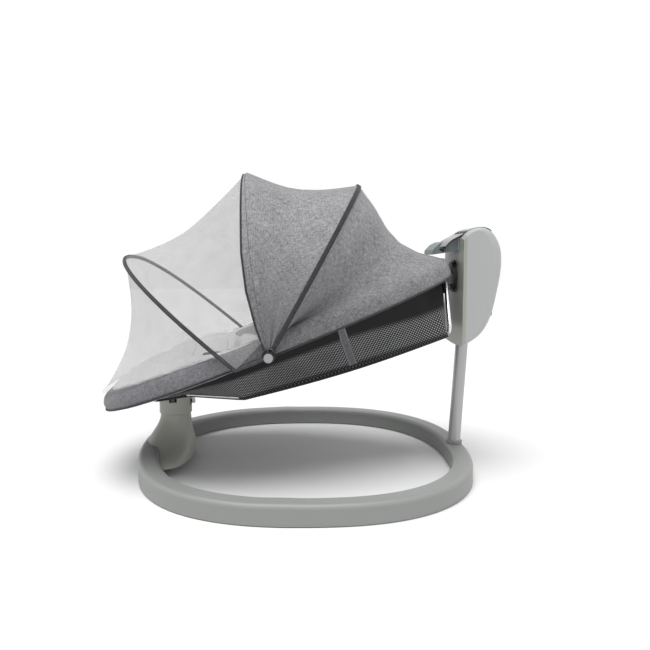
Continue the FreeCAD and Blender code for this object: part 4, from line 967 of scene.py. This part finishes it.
def buildRibBand():  # the tape sewn over the middle rib
    line = archLine(canopy["midLean"], canopy["midReach"] + 0.4, canopy["half"] + 0.4, 16, 160)
    away = np.gradient(line, axis=0)
    away /= np.linalg.norm(away, axis=1, keepdims=True)
    sideways = leaningAxis(canopy["midLean"])
    outward = np.cross(away, sideways)
    outward *= np.sign((outward * (line - hub)).sum(axis=1, keepdims=True))
    half = canopy["bandWide"] / 2
    columns = np.linspace(-half, half, 5)
    crown = 0.8 - 0.5 * (columns / half) ** 2
    grid = line[:, None] + sideways * columns[None, :, None] + outward[:, None] * crown[None, :, None]
    band = gridPiece("mid_rib_band", grid, cloth["binding"])
    thickened(band, 1.0)
    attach(band, "mid_rib")


def buildCanopyTrim():
    buildRibBand()
    front = ribLine("front")
    brim = brimLine(front)
    cord = piping("brim_piping", brim, 2.0, cloth["binding"])
    outward = front - hub
    outward /= np.linalg.norm(outward, axis=1, keepdims=True)
    seamLine = brim * 0.35 + front * 0.65 + outward * 0.7
    seam = stitches("brim_stitches", seamLine, canopy["seamPitch"], canopy["thread"], cloth["binding"])
    for part in (cord, seam):
        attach(part, "front_rib")
    for side, word in ((-1, "near"), (1, "far")):
        face = hubHigh.y / mm if side > 0 else hubLow.y / mm
        turn = np.linspace(0, 2 * math.pi, 48, endpoint=False)
        across = 0 * turn + face - side * 2.2
        radius = canopy["washer"]
        ring = np.stack([hubX + radius * np.cos(turn), across, hubZ + radius * np.sin(turn)], -1)
        washer = piping("hub_washer_" + word, ring, 1.0, cloth["binding"], closed=True)
        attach(washer, "seat")


bow = {"lean": 140, "reach": 286, "half": 227.8, "leg": 58, "legLean": 201, "casing": 2.95, "flatter": 1.2,
       "piping": 0.75, "pipingAside": 2.7}
net = {"rows": 130, "columns": 34, "thick": 0.5, "upperSag": 26, "lowerSag": 34, "hemReach": 68}


def bowLine(out, count):  # the bow's own line, or one that much outside it
    turns = np.linspace(0, math.pi, 600)
    origin = hubPoint(bow["legLean"], bow["leg"], 0) - hub
    arch = archPoint(bow["lean"], bow["reach"] + out, bow["half"] + out, turns) + origin
    return spread(arch, count)


def netCloth(name, first, last, sag, power, belly):
    shares = np.linspace(0, 1, net["columns"])
    grid = first[:, None] * (1 - shares)[None, :, None] + last[:, None] * shares[None, :, None]
    middle = np.array([hubX - 100, 0, hubZ - 20])
    inward = middle - grid
    inward /= np.linalg.norm(inward, axis=2, keepdims=True)
    around = np.sin(np.linspace(0, math.pi, len(first))) ** power
    grid += inward * (sag * np.sin(shares * math.pi)[None, :] ** belly * around[:, None])[..., None]
    grid += inward * (rippled(grid, 1.6, 60, 9.1) * np.sin(shares * math.pi)[None, :])[..., None]
    return gridPiece(name, grid, cloth["net"])


def buildNet():
    edge = archLine(canopy["frontLean"] + 1.2, canopy["frontReach"] - 3, canopy["half"] - 1, 30, net["rows"])
    over = bowLine(2.5, net["rows"])
    upper = netCloth("net_upper_cloth", edge, over, net["upperSag"], 0.5, 0.85)
    thickened(upper, net["thick"])
    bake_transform(upper)
    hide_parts("net_upper")
    declareSheet(upper)
    degrees = np.linspace(-net["hemReach"], net["hemReach"], 500)
    hem = spread(np.stack([rimPoint(spot, 5, 24.5) for spot in degrees]), net["rows"])
    lower = netCloth("net_lower_cloth", over, hem, net["lowerSag"], 0.7, 0.6)
    thickened(lower, net["thick"])
    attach(lower, "net_bow")
    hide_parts("net_lower")
    legEnd = hubPoint(bow["legLean"], bow["leg"], 0)
    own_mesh(lower)
    declareSheet(lower)


def buildBow():
    rail = bowLine(0.5, 220)
    legs = [hubPoint(bow["legLean"], np.linspace(12, bow["leg"], 12), side * bow["half"]) for side in (-1, 1)]
    path = spread(np.vstack([legs[0], rail, legs[1][::-1]]), 260)
    casing = tube("bow_casing", path, bow["casing"], cloth["casing"], 14, bow["flatter"])
    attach(casing, "net_bow")
    sideways = leaningAxis(bow["lean"])
    for index, shift in enumerate((-bow["pipingAside"], bow["pipingAside"])):
        line = bowLine(2.0, 220) + sideways * shift
        cord = piping("bow_piping_%d" % index, line, bow["piping"], cloth["binding"])
        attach(cord, "net_bow")


print("rim cover")
buildRimCover()
print("sling")
buildSling()
print("liner and bolsters")
buildLiner()
buildBolsters()
buildHarness()
print("canopy")
buildRearPanel()
buildFrontPanel()
buildCanopyTrim()
print("net")
buildNet()
buildBow()


# places and spans in metres, angles in degrees, the lens in millimetres
studio = {"floor": 14.0, "floorTone": "f4f4f4", "worldFill": 0.36,
          "sunPower": 2.75, "sunSoftness": 50, "sunWay": (0.15, 0.22, -1.0),
          "fillPower": 6, "fillSize": 2.0, "fillPlace": (1.9, -1.5, 1.5),
          "target": (0.0095, 0, 0.3125), "distance": 1.25, "elevation": 4.24, "azimuth": -1.16, "lens": 35.25,
          "shift": (0.0305, -0.0315)}


def areaLight(name, place, power, span, aim):
    light = bpy.data.lights.new(name, "AREA")
    light.energy = power
    light.size = span
    lamp = bpy.data.objects.new(name, light)
    lamp.location = place
    lamp.rotation_euler = (Vector(aim) - Vector(place)).to_track_quat("-Z", "Y").to_euler()
    bpy.context.scene.collection.objects.link(lamp)


def buildStudio():
    half = studio["floor"] / 2
    corners = [(-half, -half, 0), (half, -half, 0), (half, half, 0), (-half, half, 0)]
    paint = Paint("floorPaint")
    floorPaint = paint.finished({"Base Color": tone(studio["floorTone"]), "Roughness": 0.9,
                                 "Specular IOR Level": 0.1})
    floor = smoothMesh("floor", corners, [(0, 1, 2, 3)], floorPaint)
    world = bpy.data.worlds.new("studioWorld")
    bpy.context.scene.world = world
    world.use_nodes = True
    tree = world.node_tree
    tree.nodes.clear()
    paper = (1, 1, 1, 1)
    white = treeNode(tree, "ShaderNodeBackground", {}, {"Color": paper, "Strength": 1.0})
    fill = treeNode(tree, "ShaderNodeBackground", {}, {"Color": paper, "Strength": studio["worldFill"]})
    path = tree.nodes.new("ShaderNodeLightPath")
    plainView = path.outputs["Is Camera Ray"]
    for word in ("Is Glossy Ray", "Is Transmission Ray"):
        ray = path.outputs[word]
        either = treeNode(tree, "ShaderNodeMath", {"operation": "MAXIMUM"}, {0: plainView, 1: ray})
        plainView = either.outputs[0]
    mix = treeNode(tree, "ShaderNodeMixShader", {},
                   {0: plainView, 1: fill.outputs[0], 2: white.outputs[0]})
    treeNode(tree, "ShaderNodeOutputWorld", {}, {"Surface": mix.outputs[0]})
    sun = bpy.data.lights.new("softSun", "SUN")
    sun.energy = studio["sunPower"]
    sun.angle = math.radians(studio["sunSoftness"])
    lamp = bpy.data.objects.new("softSun", sun)
    lamp.rotation_euler = Vector(studio["sunWay"]).to_track_quat("-Z", "Y").to_euler()
    bpy.context.scene.collection.objects.link(lamp)
    areaLight("fillLight", studio["fillPlace"], studio["fillPower"], studio["fillSize"], (0, 0, 0.25))


def buildCamera():
    side = math.radians(studio["azimuth"])
    high = math.radians(studio["elevation"])
    back = Vector((math.sin(side) * math.cos(high), -math.cos(side) * math.cos(high), math.sin(high)))
    camera = bpy.data.objects.new("camera", bpy.data.cameras.new("camera"))
    camera.location = Vector(studio["target"]) + back * studio["distance"]
    camera.rotation_euler = (-back).to_track_quat("-Z", "Y").to_euler()
    camera.data.lens = studio["lens"]
    camera.data.sensor_width = 36
    camera.data.shift_x, camera.data.shift_y = studio["shift"]
    bpy.context.scene.collection.objects.link(camera)
    bpy.context.scene.camera = camera


buildStudio()
buildCamera()
view = bpy.context.scene.view_settings
view.view_transform = "Standard"
print("done")
